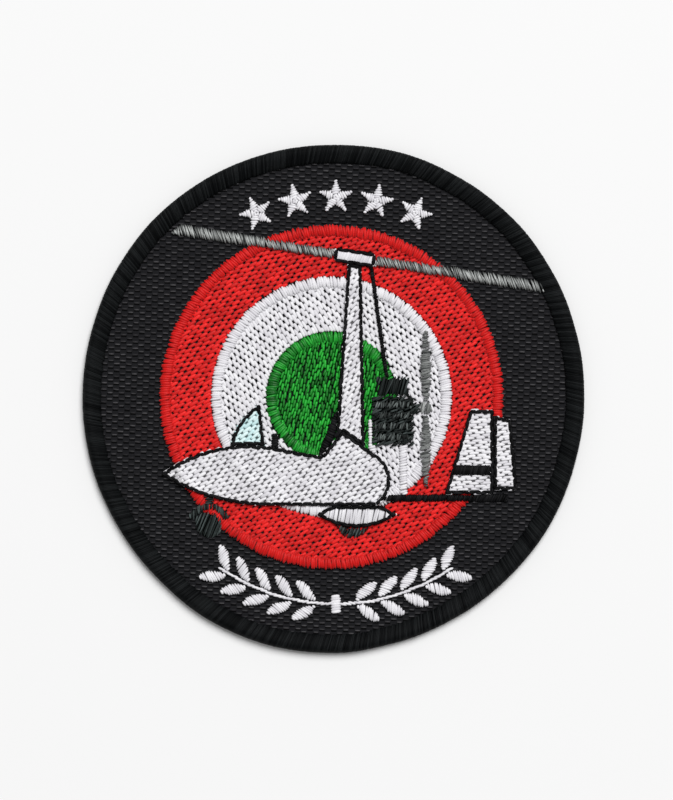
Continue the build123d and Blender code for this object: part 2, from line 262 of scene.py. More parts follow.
class NodeGraph:
    """Short calls for adding and joining the nodes of a material or a node group."""

    def __init__(self, tree: bpy.types.NodeTree) -> None:
        """Keeps the node tree that is being built."""
        self.tree = tree

    def add(self, kind: str, **settings: object) -> Node:
        """Adds a node and sets its options.

        Args:
            kind: The node's type name.
            **settings: Options of the node by name.

        Returns:
            The new node.
        """
        node = self.tree.nodes.new(kind)
        for name, value in settings.items():
            setattr(node, name, value)
        return node

    def feed(self, target: Socket, source: object) -> None:
        """Joins an output to an input, or writes a plain value on the input.

        Args:
            target: The input.
            source: The output or the value.
        """
        if isinstance(source, Socket):
            self.tree.links.new(source, target)
        else:
            target.default_value = source

    @staticmethod
    def preset(node: Node, values: dict[str, object]) -> None:
        """Writes plain values on a node's inputs."""
        for name, value in values.items():
            node.inputs[name].default_value = value

    def math(self, operation: str, *values: object) -> Socket:
        """Adds a Math node.

        Args:
            operation: The operation's name.
            *values: Values or outputs for its inputs, in order.

        Returns:
            The node's output.
        """
        node = self.add("ShaderNodeMath", operation=operation)
        for socket, value in zip(node.inputs, values):
            self.feed(socket, value)
        return node.outputs[0]

    def plus(self, base: object, value: object, gain: object) -> Socket:
        """Adds Math nodes for a base plus a value times a gain."""
        return self.math("ADD", base, self.math("MULTIPLY", value, gain))

    def step(self, value: object, start: float, end: float) -> Socket:
        """Adds a soft step from 0 to 1.

        Args:
            value: Value or output that is tested.
            start: Value where the step is 0.
            end: Value where the step is 1.

        Returns:
            The step's output.
        """
        node = self.add("ShaderNodeMapRange", interpolation_type="SMOOTHSTEP")
        self.feed(node.inputs["Value"], value)
        self.preset(node, {"From Min": start, "From Max": end})
        return node.outputs["Result"]

    def mix(self, share: object, first: object, second: object) -> Socket:
        """Adds a colour Mix node.

        Args:
            share: Weight of the second colour.
            first: First colour or output.
            second: Second colour or output.

        Returns:
            The node's colour output.
        """
        node = self.add("ShaderNodeMix", data_type="RGBA")
        for name, value in (("Factor", share), ("A", first), ("B", second)):
            self.feed(node.inputs[name], value)
        return node.outputs["Result"]

    def place(self) -> Socket:
        """Object coordinates, in metres."""
        return self.add("ShaderNodeTexCoord").outputs["Object"]

    def mapped(self, vector: object, values: dict[str, object]) -> Socket:
        """Adds a Mapping node.

        Args:
            vector: Coordinates.
            values: Plain values of the node's inputs by name.

        Returns:
            The turned or stretched coordinates.
        """
        node = self.add("ShaderNodeMapping")
        self.feed(node.inputs["Vector"], vector)
        self.preset(node, values)
        return node.outputs["Vector"]

    def split(self, vector: object) -> tuple[Socket, Socket]:
        """Adds a node that gives the X and the Y of a vector.

        Args:
            vector: Coordinates.

        Returns:
            The outputs for X and Y.
        """
        node = self.add("ShaderNodeSeparateXYZ")
        self.feed(node.inputs[0], vector)
        return node.outputs["X"], node.outputs["Y"]

    def noise(self, vector: object, scale: float, detail: float) -> Socket:
        """Adds a Noise texture.

        Args:
            vector: Coordinates.
            scale: Size of the pattern.
            detail: Octaves.

        Returns:
            The node's value output.
        """
        node = self.add("ShaderNodeTexNoise")
        self.feed(node.inputs["Vector"], vector)
        self.preset(node, {"Scale": scale, "Detail": detail})
        return node.outputs["Fac"]

    def bump(self, shader: Node, height: object, strength: float, depth: float) -> None:
        """Adds a Bump node and joins it to a shader.

        Args:
            shader: The shader whose surface is raised.
            height: Value or output for the height.
            strength: Weight of the effect.
            depth: Depth for a height of 1, in millimetres.
        """
        node = self.add("ShaderNodeBump")
        self.preset(node, {"Strength": strength, "Distance": depth * MM})
        self.feed(node.inputs["Height"], height)
        self.feed(shader.inputs["Normal"], node.outputs["Normal"])


def new_material(name: str) -> tuple[Material, NodeGraph, Node]:
    """Makes a material with an unset shader.

    Args:
        name: Name of the material.

    Returns:
        The material, its graph and its shader.
    """
    material = bpy.data.materials.new(name)
    material.use_nodes = True
    return material, NodeGraph(material.node_tree), material.node_tree.nodes["Principled BSDF"]


class ThreadLook:
    """Node group for spun thread: each stitch's own tone, fine fibres and the twist of the plies."""

    NAME = "thread_look"
    TURNS_PER_MM = 1.6
    PLIES = 2
    PLY_HEIGHT = 0.5
    STRETCH = (0.6, 4.0, 1.0)
    FIBRE_SCALE = 3.0
    FIBRE_DETAIL = 3.0
    FIBRE_TONE = 0.1
    FIBRE_ROUGHNESS = 0.15
    STRAND_EDGES = (0.38, 0.62)
    STRAND_DARK = 0.62
    STRAND_GAIN = 0.6

    @classmethod
    def group(cls) -> bpy.types.NodeTree:
        """Builds the group on its first use.

        Returns:
            The group's node tree.
        """
        if cls.NAME in bpy.data.node_groups:
            return bpy.data.node_groups[cls.NAME]
        tree = bpy.data.node_groups.new(cls.NAME, "ShaderNodeTree")
        colour, number = "NodeSocketColor", "NodeSocketFloat"
        for side, sockets in (
            ("INPUT", {"Light": colour, "Dark": colour, "Roughness": number}),
            ("OUTPUT", {"Color": colour, "Roughness": number, "Height": number}),
        ):
            for name, kind in sockets.items():
                tree.interface.new_socket(name, in_out=side, socket_type=kind)
        graph = NodeGraph(tree)
        given = graph.add("NodeGroupInput").outputs
        result = graph.add("NodeGroupOutput").inputs
        tone = graph.add("ShaderNodeAttribute", attribute_name="tone").outputs["Fac"]
        uv = graph.add("ShaderNodeUVMap", uv_map="thread").outputs["UV"]
        along, around = graph.split(uv)
        turn = graph.plus(around, along, cls.TURNS_PER_MM)
        ply = graph.math("SINE", graph.math("MULTIPLY", turn, 2 * math.pi * cls.PLIES))
        fibre = graph.noise(graph.mapped(uv, {"Scale": cls.STRETCH}), cls.FIBRE_SCALE, cls.FIBRE_DETAIL)
        strands = graph.step(fibre, *cls.STRAND_EDGES)
        gain = graph.plus(cls.STRAND_DARK, strands, cls.STRAND_GAIN)
        share = graph.plus(graph.math("MULTIPLY", tone, gain), fibre, cls.FIBRE_TONE)
        graph.feed(result["Color"], graph.mix(share, given["Dark"], given["Light"]))
        graph.feed(result["Roughness"], graph.plus(given["Roughness"], fibre, cls.FIBRE_ROUGHNESS))
        graph.feed(result["Height"], graph.plus(fibre, ply, cls.PLY_HEIGHT))
        return tree


@dataclass(frozen=True)
class ThreadFinish:
    """Colour and gloss of one embroidery thread."""

    slot: str
    light: Colour
    dark: Colour
    roughness: float = 0.38
    specular: float = 0.45
    sheen: float = 0.1
    rarity: float = 1.0
    variant: str = ""
    sheen_roughness: float = 0.4
    bump_strength: float = 0.25
    bump_depth: float = 0.03
    underlay_shade: float = 0.46

    def tones(self, draw: Draw, count: int) -> Array:
        """Draws how light each stitch is: the higher the rarity, the fewer light ones."""
        return draw.uniform(0, 1, count) ** self.rarity

    def shaded(self) -> "ThreadFinish":
        """The same thread, in the same slot, for the underlay below other stitches: darkened as painted
        shade, and without gloss.
        """
        dim = tuple(self.underlay_shade * value for value in self.dark)
        return replace(self, light=dim, dark=dim, specular=0.0, sheen=0.0, variant="_underlay")

    def material(self) -> Material:
        """Builds the thread's material on its first use.

        Returns:
            The material.
        """
        name = f"{self.slot}{self.variant}_finish"
        if name in bpy.data.materials:
            return bpy.data.materials[name]
        material, graph, shader = new_material(name)
        look = graph.add("ShaderNodeGroup", node_tree=ThreadLook.group())
        graph.preset(
            look, {"Light": srgb(*self.light), "Dark": srgb(*self.dark), "Roughness": self.roughness}
        )
        graph.feed(shader.inputs["Base Color"], look.outputs["Color"])
        graph.feed(shader.inputs["Roughness"], look.outputs["Roughness"])
        graph.bump(shader, look.outputs["Height"], self.bump_strength, self.bump_depth)
        shader.inputs["Specular IOR Level"].default_value = self.specular
        shader.inputs["Sheen Weight"].default_value = self.sheen
        shader.inputs["Sheen Roughness"].default_value = self.sheen_roughness
        return material


BORDER_THREAD = ThreadFinish("border_thread", (28, 30, 31), (4, 5, 6), 0.55, 0.06, 0.0, 1.3)
RED_THREAD = ThreadFinish("red_thread", (238, 33, 31), (186, 12, 10), 0.42, 0.2)
WHITE_THREAD = ThreadFinish("white_thread", (241, 240, 243), (215, 213, 218), 0.45, 0.2)
GREEN_THREAD = ThreadFinish("green_thread", (40, 182, 56), (2, 72, 12), 0.36, 0.3, 0.0)
GREY_THREAD = ThreadFinish("grey_thread", (200, 203, 201), (28, 32, 32), 0.42, 0.2, 0.0, 0.75)
DARK_GREY_THREAD = ThreadFinish("grey_thread", (112, 120, 118), (5, 7, 7), 0.45, 0.1, 0.0, 2.2, "_dark")
CHARCOAL_THREAD = ThreadFinish("charcoal_thread", (86, 96, 95), (3, 6, 5), 0.45, 0.1, 0.0, 2.0)
CYAN_THREAD = ThreadFinish("cyan_thread", (226, 246, 246), (190, 226, 228), 0.42, 0.25)
LINE_THREAD = ThreadFinish("line_thread", (28, 28, 30), (3, 3, 4), 0.5, 0.08, 0.0, 2.0)
# The floats of the ground cloth: the cloth's own yarn, coloured lighter than the cloth as painted
# highlight on their raised tops.
LIT_GROUND_YARN = ThreadFinish("ground_yarn", (76, 75, 77), (34, 33, 35), 0.5, 0.1, 0.0)


@dataclass
class StitchMould:
    """One stitch: a tube with narrow ends along X from 0 to 1, modelled once and copied along paths."""

    sides: int = 6
    stations: tuple[float, ...] = (0.0, 0.05, 0.13, 0.25, 0.5, 0.75, 0.87, 0.95, 1.0)
    swell: tuple[float, ...] = (0.3, 0.6, 0.85, 1.0, 1.0, 1.0, 0.85, 0.6, 0.3)
    fibre_shift: float = 0.37
    seam_nudge: float = 1e-6
    points: Array = field(init=False)
    quads: Array = field(init=False)
    station_of: Array = field(init=False)
    corner_uv: Array = field(init=False)

    def __post_init__(self) -> None:
        """Models the tube by extruding and scaling a ring, and reads its points and faces."""
        deselect_all()
        bpy.ops.mesh.primitive_circle_add(
            vertices=self.sides, radius=self.swell[0], fill_type="NGON", rotation=(0, math.pi / 2, 0)
        )
        mould = bpy.context.object
        bpy.ops.object.transform_apply(location=False, rotation=True, scale=False)
        bpy.ops.object.mode_set(mode="EDIT")
        bpy.ops.mesh.select_all(action="SELECT")
        for index in range(1, len(self.stations)):
            step = self.stations[index] - self.stations[index - 1]
            grow = self.swell[index] / self.swell[index - 1]
            bpy.ops.mesh.extrude_region_move(TRANSFORM_OT_translate={"value": (step, 0, 0)})
            bpy.ops.transform.resize(value=(1, grow, grow), center_override=(self.stations[index], 0, 0))
        bpy.ops.mesh.select_all(action="SELECT")
        bpy.ops.mesh.normals_make_consistent(inside=False)
        bpy.ops.object.mode_set(mode="OBJECT")
        self.read(mould.data)
        bpy.data.objects.remove(mould)

    def read(self, mesh: Mesh) -> None:
        """Keeps the mould's points, its faces as quads and the thread coordinates of their corners.

        Args:
            mesh: The modelled tube.
        """
        self.points = np.array([vertex.co[:] for vertex in mesh.vertices])
        quads: list[list[int]] = []
        for polygon in mesh.polygons:
            ring = list(polygon.vertices)
            quads += [[ring[0]] + ring[k : k + 3] for k in range(1, len(ring) - 1, 2)]
        self.quads = np.array(quads)
        gaps = np.abs(self.points[:, :1] - np.array(self.stations)[None, :])
        self.station_of = np.argmin(gaps, axis=1)
        turn = np.arctan2(self.points[:, 2], self.points[:, 1]) / (2 * math.pi)
        corner = np.mod(turn + self.seam_nudge, 1.0)[self.quads]
        wraps = (corner.max(axis=1) - corner.min(axis=1) > 0.5)[:, None]
        corner = np.where(wraps & (corner < 0.5), corner + 1.0, corner)
        self.corner_uv = np.stack([self.points[self.quads][..., 0], corner], axis=-1)

    def copy_along(
        self, name: str, paths: Array, width: Array, height: Array, tone: Array
    ) -> Piece:
        """Copies the stitch along many paths into one mesh.

        Args:
            name: Name of the piece.
            paths: Points of each path at the mould's stations, as copies by stations by 3.
            width: Half width of each stitch across its path.
            height: Half height of each stitch.
            tone: Share of the light colour, of each stitch or at each station of each stitch.

        Returns:
            The piece.
        """
        count = len(paths)
        run = paths[:, -1, :2] - paths[:, 0, :2]
        run /= np.maximum(np.linalg.norm(run, axis=1, keepdims=True), TINY)
        across = np.stack([-run[:, 1], run[:, 0], np.zeros(count)], axis=1)
        along = np.gradient(paths, axis=1)
        along /= np.maximum(np.linalg.norm(along, axis=2, keepdims=True), TINY)
        up = np.cross(along, across[:, None, :])
        up /= np.maximum(np.linalg.norm(up, axis=2, keepdims=True), TINY)
        side = across[:, None, :] * (self.points[None, :, 1:2] * width[:, None, None])
        rise = up[:, self.station_of] * (self.points[None, :, 2:3] * height[:, None, None])
        points = (paths[:, self.station_of] + side + rise).reshape(-1, 3) * MM
        copies = np.arange(count)[:, None, None]
        quads = (self.quads[None] + copies * len(self.points)).reshape(-1, 4)
        length = np.linalg.norm(np.diff(paths, axis=1), axis=2).sum(axis=1)
        uv = np.repeat(self.corner_uv[None], count, axis=0)
        uv[..., 0] = uv[..., 0] * length[:, None, None] + copies * self.fibre_shift
        if tone.ndim == 1:
            tone = np.repeat(tone[:, None], len(self.stations), axis=1)
        return mesh_piece(name, points, quads, uv.reshape(-1, 2), tone[:, self.station_of].ravel())


Moulds = dict[Stitch, StitchMould]


def make_moulds() -> Moulds:
    """Models the stitches: a tapered one for satin, a blunt one for fillings and a plain one below.

    Returns:
        The moulds by the way that rows are sewn.
    """
    blunt = StitchMould(
        stations=(0.0, 0.05, 0.11, 0.22, 0.5, 0.78, 0.89, 0.95, 1.0),
        swell=(0.3, 0.62, 0.92, 1.02, 1.04, 1.02, 0.92, 0.62, 0.3),
    )
    plain = StitchMould(stations=(0.0, 0.1, 0.5, 0.9, 1.0), swell=(0.4, 0.9, 1.03, 0.9, 0.4))
    return {Stitch.SATIN: StitchMould(), Stitch.FILLING: blunt, Stitch.UNDERLAY: plain}


def mesh_piece(
    name: str, points: Array, quads: Array, uv: Array, tone: Array
) -> Piece:
    """Makes one object from arrays.

    Args:
        name: Name of the piece.
        points: Points in metres.
        quads: Four point numbers for each face.
        uv: Thread coordinates of each face corner.
        tone: Tone of each point.

    Returns:
        The piece, at the origin.
    """
    mesh = bpy.data.meshes.new(name)
    mesh.vertices.add(len(points))
    mesh.vertices.foreach_set("co", points.astype(np.float32).ravel())
    mesh.loops.add(quads.size)
    mesh.loops.foreach_set("vertex_index", quads.astype(np.int32).ravel())
    mesh.polygons.add(len(quads))
    mesh.polygons.foreach_set("loop_start", np.arange(0, quads.size, 4, dtype=np.int32))
    mesh.update(calc_edges=True)
    layer = mesh.uv_layers.new(name="thread")
    layer.data.foreach_set("uv", uv.astype(np.float32).ravel())
    attribute = mesh.attributes.new("tone", "FLOAT", "POINT")
    attribute.data.foreach_set("value", tone.astype(np.float32))
    mesh.polygons.foreach_set("use_smooth", np.ones(len(quads), dtype=bool))
    mesh.validate()
    piece = bpy.data.objects.new(name, mesh)
    bpy.context.scene.collection.objects.link(piece)
    return piece


def settle(piece: Piece, node: str, material: Material) -> None:
    """Dresses a piece, ties it to the body and lets it stand for its node.

    Args:
        piece: The piece.
        node: The node that it replaces.
        material: The piece's material.
    """
    piece.data.materials.clear()
    piece.data.materials.append(material)
    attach(piece, BODY)
    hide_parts(node)
    LOG.info("%s: %d faces", piece.name, len(piece.data.polygons))


@dataclass
class Threads:
    """Stitches of one thread that stand for one node."""

    node: str
    finish: ThreadFinish
    label: str = "stitches"

    def lay(
        self, mould: StitchMould, paths: Array, width: Array, height: float, tone: Array
    ) -> None:
        """Copies a stitch along paths and settles the piece.

        Args:
            mould: The stitch that is copied.
            paths: Points of each path at the mould's stations.
            width: Half width of each stitch.
            height: Half height of all stitches, or of each one.
            tone: Share of the light colour.
        """
        heights = np.broadcast_to(height, len(paths))
        piece = mould.copy_along(f"{self.node}_{self.label}", paths, width, heights, tone)
        settle(piece, self.node, self.finish.material())


class Region(Protocol):
    """A flat area that can be cut into rows."""

    def reach(self, angle: float) -> Range:
        """Lowest and highest row position for rows that run at an angle."""

    def spans(self, angle: float, row: float) -> Spans:
        """Stretches of one row that lie inside the area."""


@dataclass
class RingArea:
    """The area between two circles about the roundel's centre."""

    inner: float
    outer: float

    def reach(self, angle: float) -> Range:
        """Lowest and highest row position for rows that run at an angle."""
        middle = along_rows(ROUNDEL.x, ROUNDEL.y, angle)[1]
        return middle - self.outer, middle + self.outer

    def spans(self, angle: float, row: float) -> Spans:
        """Stretches of one row that lie inside the ring.

        Args:
            angle: Direction of the rows, in radians.
            row: Position of the row across that direction.

        Returns:
            Start and end of each stretch along the row.
        """
        centre, middle = along_rows(ROUNDEL.x, ROUNDEL.y, angle)
        offset = row - middle
        if abs(offset) >= self.outer:
            return []
        far = math.sqrt(self.outer**2 - offset**2)
        if abs(offset) >= self.inner:
            return [(centre - far, centre + far)]
        near = math.sqrt(self.inner**2 - offset**2)
        return [(centre - far, centre - near), (centre + near, centre + far)]


@dataclass
class NodeArea:
    """The area that a node of the frame covers, seen from above."""

    node: Piece
    join_gap: float = 0.05
    flatness: float = 1e-3
    grid: float = 500.0
    sides: tuple[tuple[int, int], ...] = ((0, 1), (1, 2), (2, 0))
    corners: Array = field(init=False)

    def __post_init__(self) -> None:
        """Reads the node's triangles in millimetres."""
        mesh = self.node.data
        mesh.calc_loop_triangles()
        points = np.array([vertex.co[:] for vertex in mesh.vertices]) / MM
        self.corners = points[np.array([triangle.vertices[:] for triangle in mesh.loop_triangles])]

    def turned(self, angle: float) -> tuple[Array, Array]:
        """Positions of the triangles' corners along and across a direction."""
        return along_rows(self.corners[..., 0], self.corners[..., 1], angle)

    def reach(self, angle: float) -> Range:
        """Lowest and highest row position for rows that run at an angle."""
        across = self.turned(angle)[1]
        return float(across.min()), float(across.max())

    def spans(self, angle: float, row: float) -> Spans:
        """Stretches of one row that lie inside the area.

        Args:
            angle: Direction of the rows, in radians.
            row: Position of the row across that direction.

        Returns:
            Start and end of each stretch along the row.
        """
        along, across = self.turned(angle)
        hit = (across.min(axis=1) < row) & (across.max(axis=1) > row)
        found: Spans = []
        for u, v in zip(along[hit], across[hit]):
            cuts = [
                u[a] + (u[b] - u[a]) * (row - v[a]) / (v[b] - v[a])
                for a, b in self.sides
                if (v[a] - row) * (v[b] - row) < 0
            ]
            if len(cuts) == 2:
                found.append((min(cuts), max(cuts)))
        joined: Spans = []
        for low, high in sorted(found):
            if joined and low <= joined[-1][1] + self.join_gap:
                joined[-1] = (joined[-1][0], max(joined[-1][1], high))
            else:
                joined.append((low, high))
        return joined

    def longest_rim(self) -> Array:
        """The longest closed rim of the node's top face.

        Returns:
            The points of the rim.
        """
        top = self.corners[..., 2].max()
        level = (np.abs(self.corners[..., 2] - top) < self.flatness).all(axis=1)
        marks = np.round(self.corners[level][..., :2] * self.grid).astype(int)
        edges: dict[tuple, tuple] = {}
        for ring in marks:
            for a, b in self.sides:
                start, end = tuple(ring[a]), tuple(ring[b])
                if (end, start) in edges:
                    del edges[(end, start)]
                else:
                    edges[(start, end)] = (start, end)
        follows = dict(edges.values())
        rims = []
        while follows:
            start, here = follows.popitem()
            rim = [start]
            while here != start and here in follows:
                rim.append(here)
                here = follows.pop(here)
            rims.append(np.array(rim) / self.grid)
        return max(rims, key=lambda rim: travelled(closed(rim))[-1])


@dataclass
class Field:
    """A stitched field: rows of thread laid over an area at one angle."""

    node: str
    finish: ThreadFinish
    area: Region
    stitch: Stitch
    angle: float
    level: Level = Level.FACE
    pitch: float = 0.42
    length: float = 1.84
    half_width: float = 0.28
    half_height: float = 0.085
    loft: float = 0.29
    overlap: float = 0.06
    waver: float = 0.03
    pairing: float = 0.032
    hole: float = 0.115
    shade: float = 1.0
    end_shade: float = 0.0
    inset: float = 0.0
    label: str = "stitches"
    seed: int = 1
    shortest: float = 0.25
    end_room: float = 0.5
    row_shift: float = 0.5
    pair_shift: float = 0.117
    drift: float = 2.0
    satin_arch: Range = (2.2, 0.8)
    row_arch: Range = (8.0, 0.8)
    end_shade_bend: float = 1.4
    hole_spread: Range = (0.0, 2.0)
    loft_spread: Range = (0.97, 1.03)
    width_spread: Range = (0.86, 1.12)
    height_spread: Range = (0.95, 1.05)

    def build(self, moulds: Moulds) -> None:
        """Sews the field.

        Args:
            moulds: The stitches that can be copied.
        """
        draw = np.random.default_rng(self.seed)
        turn = math.radians(self.angle)
        low, high = self.area.reach(turn)
        ends: list[tuple[float, float, float]] = []
        for index, row in enumerate(np.arange(low + self.pitch / 2, high, self.pitch)):
            if self.stitch is Stitch.FILLING:
                row += self.pairing * (1 - 2 * (index % 2))
            sides = [self.area.spans(turn, float(row + shift)) for shift in (-self.inset, self.inset)]
            for start, end in common(*sides):
                ends += [(a, b, row) for a, b in self.divide(start, end, index, draw)]
        mould = moulds[self.stitch]
        laid = self.lay(np.array(ends), turn, np.array(mould.stations), draw)
        Threads(self.node, self.finish, self.label).lay(mould, *laid)

    def divide(self, start: float, end: float, index: int, draw: Draw) -> Spans:
        """Divides one stretch of a row into stitches.

        Args:
            start: Start of the stretch.
            end: End of the stretch.
            index: Number of the row.
            draw: Source of the small differences between stitches.

        Returns:
            Start and end of each stitch along the row.
        """
        if end - start < self.shortest:
            return []
        if self.stitch is Stitch.SATIN:
            slack = draw.uniform(-self.waver, self.waver, 2)
            return [(start - self.overlap + slack[0], end + self.overlap + slack[1])]
        shift = (self.row_shift * (index % 2) - self.pair_shift * (index // 2)) * self.length
        first = math.ceil((start - shift) / self.length) * self.length + shift
        marks = np.arange(first, end, self.length)
        marks = marks + draw.uniform(-self.drift, self.drift, len(marks)) * self.waver
        marks = [mark for mark in marks if start + self.end_room < mark < end - self.end_room]
        holes = self.hole * draw.uniform(*self.hole_spread, len(marks))
        starts = [start - self.overlap, *(mark + hole for mark, hole in zip(marks, holes))]
        ends = [*(mark - hole for mark, hole in zip(marks, holes)), end + self.overlap]
        return list(zip(starts, ends))

    def ground(self, x: Array, y: Array) -> Array:
        """Height of what the field lies on.

        Args:
            x: Positions to the right.
            y: Positions towards the top of the picture.

        Returns:
            The heights.
        """
        if self.level is Level.CLOTH:
            return np.full_like(x, HEIGHTS.cloth_top)
        return face_level(x, y) + (HEIGHTS.figure_rise if self.level is Level.FIGURE else 0.0)

    def lay(
        self, table: Array, turn: float, stations: Array, draw: Draw
    ) -> tuple[Array, Array, Array, Array]:
        """Lays the stitches over the face.

        Args:
            table: Start, end and row of each stitch.
            turn: Direction of the rows, in radians.
            stations: Places along a stitch.
            draw: Source of the small differences between stitches.

        Returns:
            Paths, half widths, half heights and tones.
        """
        count = len(table)
        along = table[:, :1] + (table[:, 1:2] - table[:, :1]) * stations[None]
        sway = draw.normal(0, self.waver, (count, 2))
        row = table[:, 2:3] + sway[:, :1] * (1 - stations)[None] + sway[:, 1:] * stations[None]
        x, y = from_rows(along, row, turn)
        arch = arched(stations, *(self.satin_arch if self.stitch is Stitch.SATIN else self.row_arch))
        loft = self.loft * draw.uniform(*self.loft_spread, (count, 1))
        z = self.ground(x, y) + loft * arch[None]
        width = self.half_width * draw.uniform(*self.width_spread, count)
        height = self.half_height * draw.uniform(*self.height_spread, count)
        tone = self.finish.tones(draw, count)[:, None] * self.shade
        # Painted shade: end_shade darkens each stitch towards both its ends, so a satin field is darker
        # along its two edges, as a crowned field is under the lamp.
        tone = tone * (1 - self.end_shade * np.abs(2 * stations - 1) ** self.end_shade_bend)[None]
        return np.stack([x, y, z], axis=2), width, height, tone


@dataclass
class SatinRing:
    """The crowned satin edge of a ring: short stitches across its width, slightly slanted."""

    node: str
    finish: ThreadFinish
    outer: float
    width: float = ROUNDEL.satin
    pitch: float = 0.37
    half_width: float = 0.235
    half_height: float = 0.17
    slant: float = 0.1
    shade: float = 1.0
    seed: int = 1
    inner_tuck: float = 0.42
    outer_tuck: float = 0.02
    inner_foot: float = 0.30
    foot_drop: float = 0.18
    crown_sink: float = 0.14
    arch: Range = (2.2, 0.75)
    jitter: float = 0.22
    ragged_spread: Range = (-0.2, 0.12)
    slant_spread: Range = (-0.6, 2.6)
    crown_spread: Range = (0.86, 1.04)
    width_spread: Range = (0.84, 1.1)

    def build(self, mould: StitchMould) -> None:
        """Sews the edge.

        Args:
            mould: The stitch that is copied.
        """
        draw = np.random.default_rng(self.seed)
        count = int(2 * math.pi * (self.outer - self.width / 2) / self.pitch)
        stations = np.array(mould.stations)[None]
        angle = bearings(count, self.jitter, draw)
        ragged = draw.uniform(*self.ragged_spread, (count, 2))
        inner = self.outer - self.width - self.inner_tuck + ragged[:, :1]
        radius = inner + (self.outer + self.outer_tuck + ragged[:, 1:] - inner) * stations
        lean = self.slant * draw.uniform(*self.slant_spread, (count, 1))
        bearing = angle + (stations - 0.5) * lean / self.outer * 2
        low = HEIGHTS.cloth_top + self.inner_foot - self.foot_drop * stations
        rise = (HEIGHTS.satin_top - self.crown_sink - low) * arched(stations, *self.arch)
        z = low + rise * draw.uniform(*self.crown_spread, (count, 1))
        x = ROUNDEL.x + radius * np.cos(bearing)
        y = ROUNDEL.y + radius * np.sin(bearing)
        width = self.half_width * draw.uniform(*self.width_spread, count)
        # shade darkens the edge's tone; the rings use it as painted shade between the strands.
        tone = self.finish.tones(draw, count) * self.shade
        paths = np.stack([x, y, z], axis=2)
        Threads(self.node, self.finish).lay(mould, paths, width, self.half_height, tone)


@dataclass
class Border:
    """The overcast border: threads from its inner foot over the crown and down the cut edge."""

    node: str = "border"
    finish: ThreadFinish = BORDER_THREAD
    width: float = 2.9
    profile: Spans = field(
        default_factory=lambda: [
            (0.0, 0.02), (0.12, 0.22), (0.45, 0.48), (0.9, 0.76), (1.35, 0.96), (1.75, 1.05),
            (2.1, 1.02), (2.4, 0.84), (2.62, 0.54), (2.74, 0.12), (2.75, -0.4), (2.68, -0.80),
        ]
    )
    pitch: float = 0.25
    slant: float = -1.3
    half_width: float = 0.175
    half_height: float = 0.13
    tip: float = 0.55
    seed: int = 7
    jitter: float = 0.2
    ragged: float = 0.06
    slant_spread: Range = (0.92, 1.08)
    crown_spread: Range = (0.96, 1.02)
    width_spread: Range = (0.92, 1.15)

    def build(self) -> None:
        """Sews the border, each thread along the profile from the inner foot to the cut edge."""
        draw = np.random.default_rng(self.seed)
        out, up = np.array(self.profile).T
        marks = travelled(np.array(self.profile))
        share = marks / marks[-1]
        swell = (self.tip, *[1.0] * (len(share) - 1))
        mould = StitchMould(stations=tuple(float(mark) for mark in share), swell=swell)
        count = int(2 * math.pi * (OUTLINE.radius - self.width / 2) / self.pitch)
        angle = bearings(count, self.jitter, draw)
        lean = self.slant * draw.uniform(*self.slant_spread, (count, 1))
        bearing = angle + (share[None] - 0.5) * lean / OUTLINE.radius
        ragged = draw.normal(0, self.ragged, (count, 1))
        inner = OUTLINE.radius - self.width + OUTLINE.offset(angle)
        radius = inner + out[None] + ragged * (1 - share[None])
        crown = np.maximum(up, 0)[None] * draw.uniform(*self.crown_spread, (count, 1))
        z = HEIGHTS.cloth_top + crown + np.minimum(up, 0)[None]
        paths = np.stack([radius * np.cos(bearing), radius * np.sin(bearing), z], axis=2)
        width = self.half_width * draw.uniform(*self.width_spread, count)
        tone = self.finish.tones(draw, count)
        Threads(self.node, self.finish).lay(mould, paths, width, self.half_height, tone)


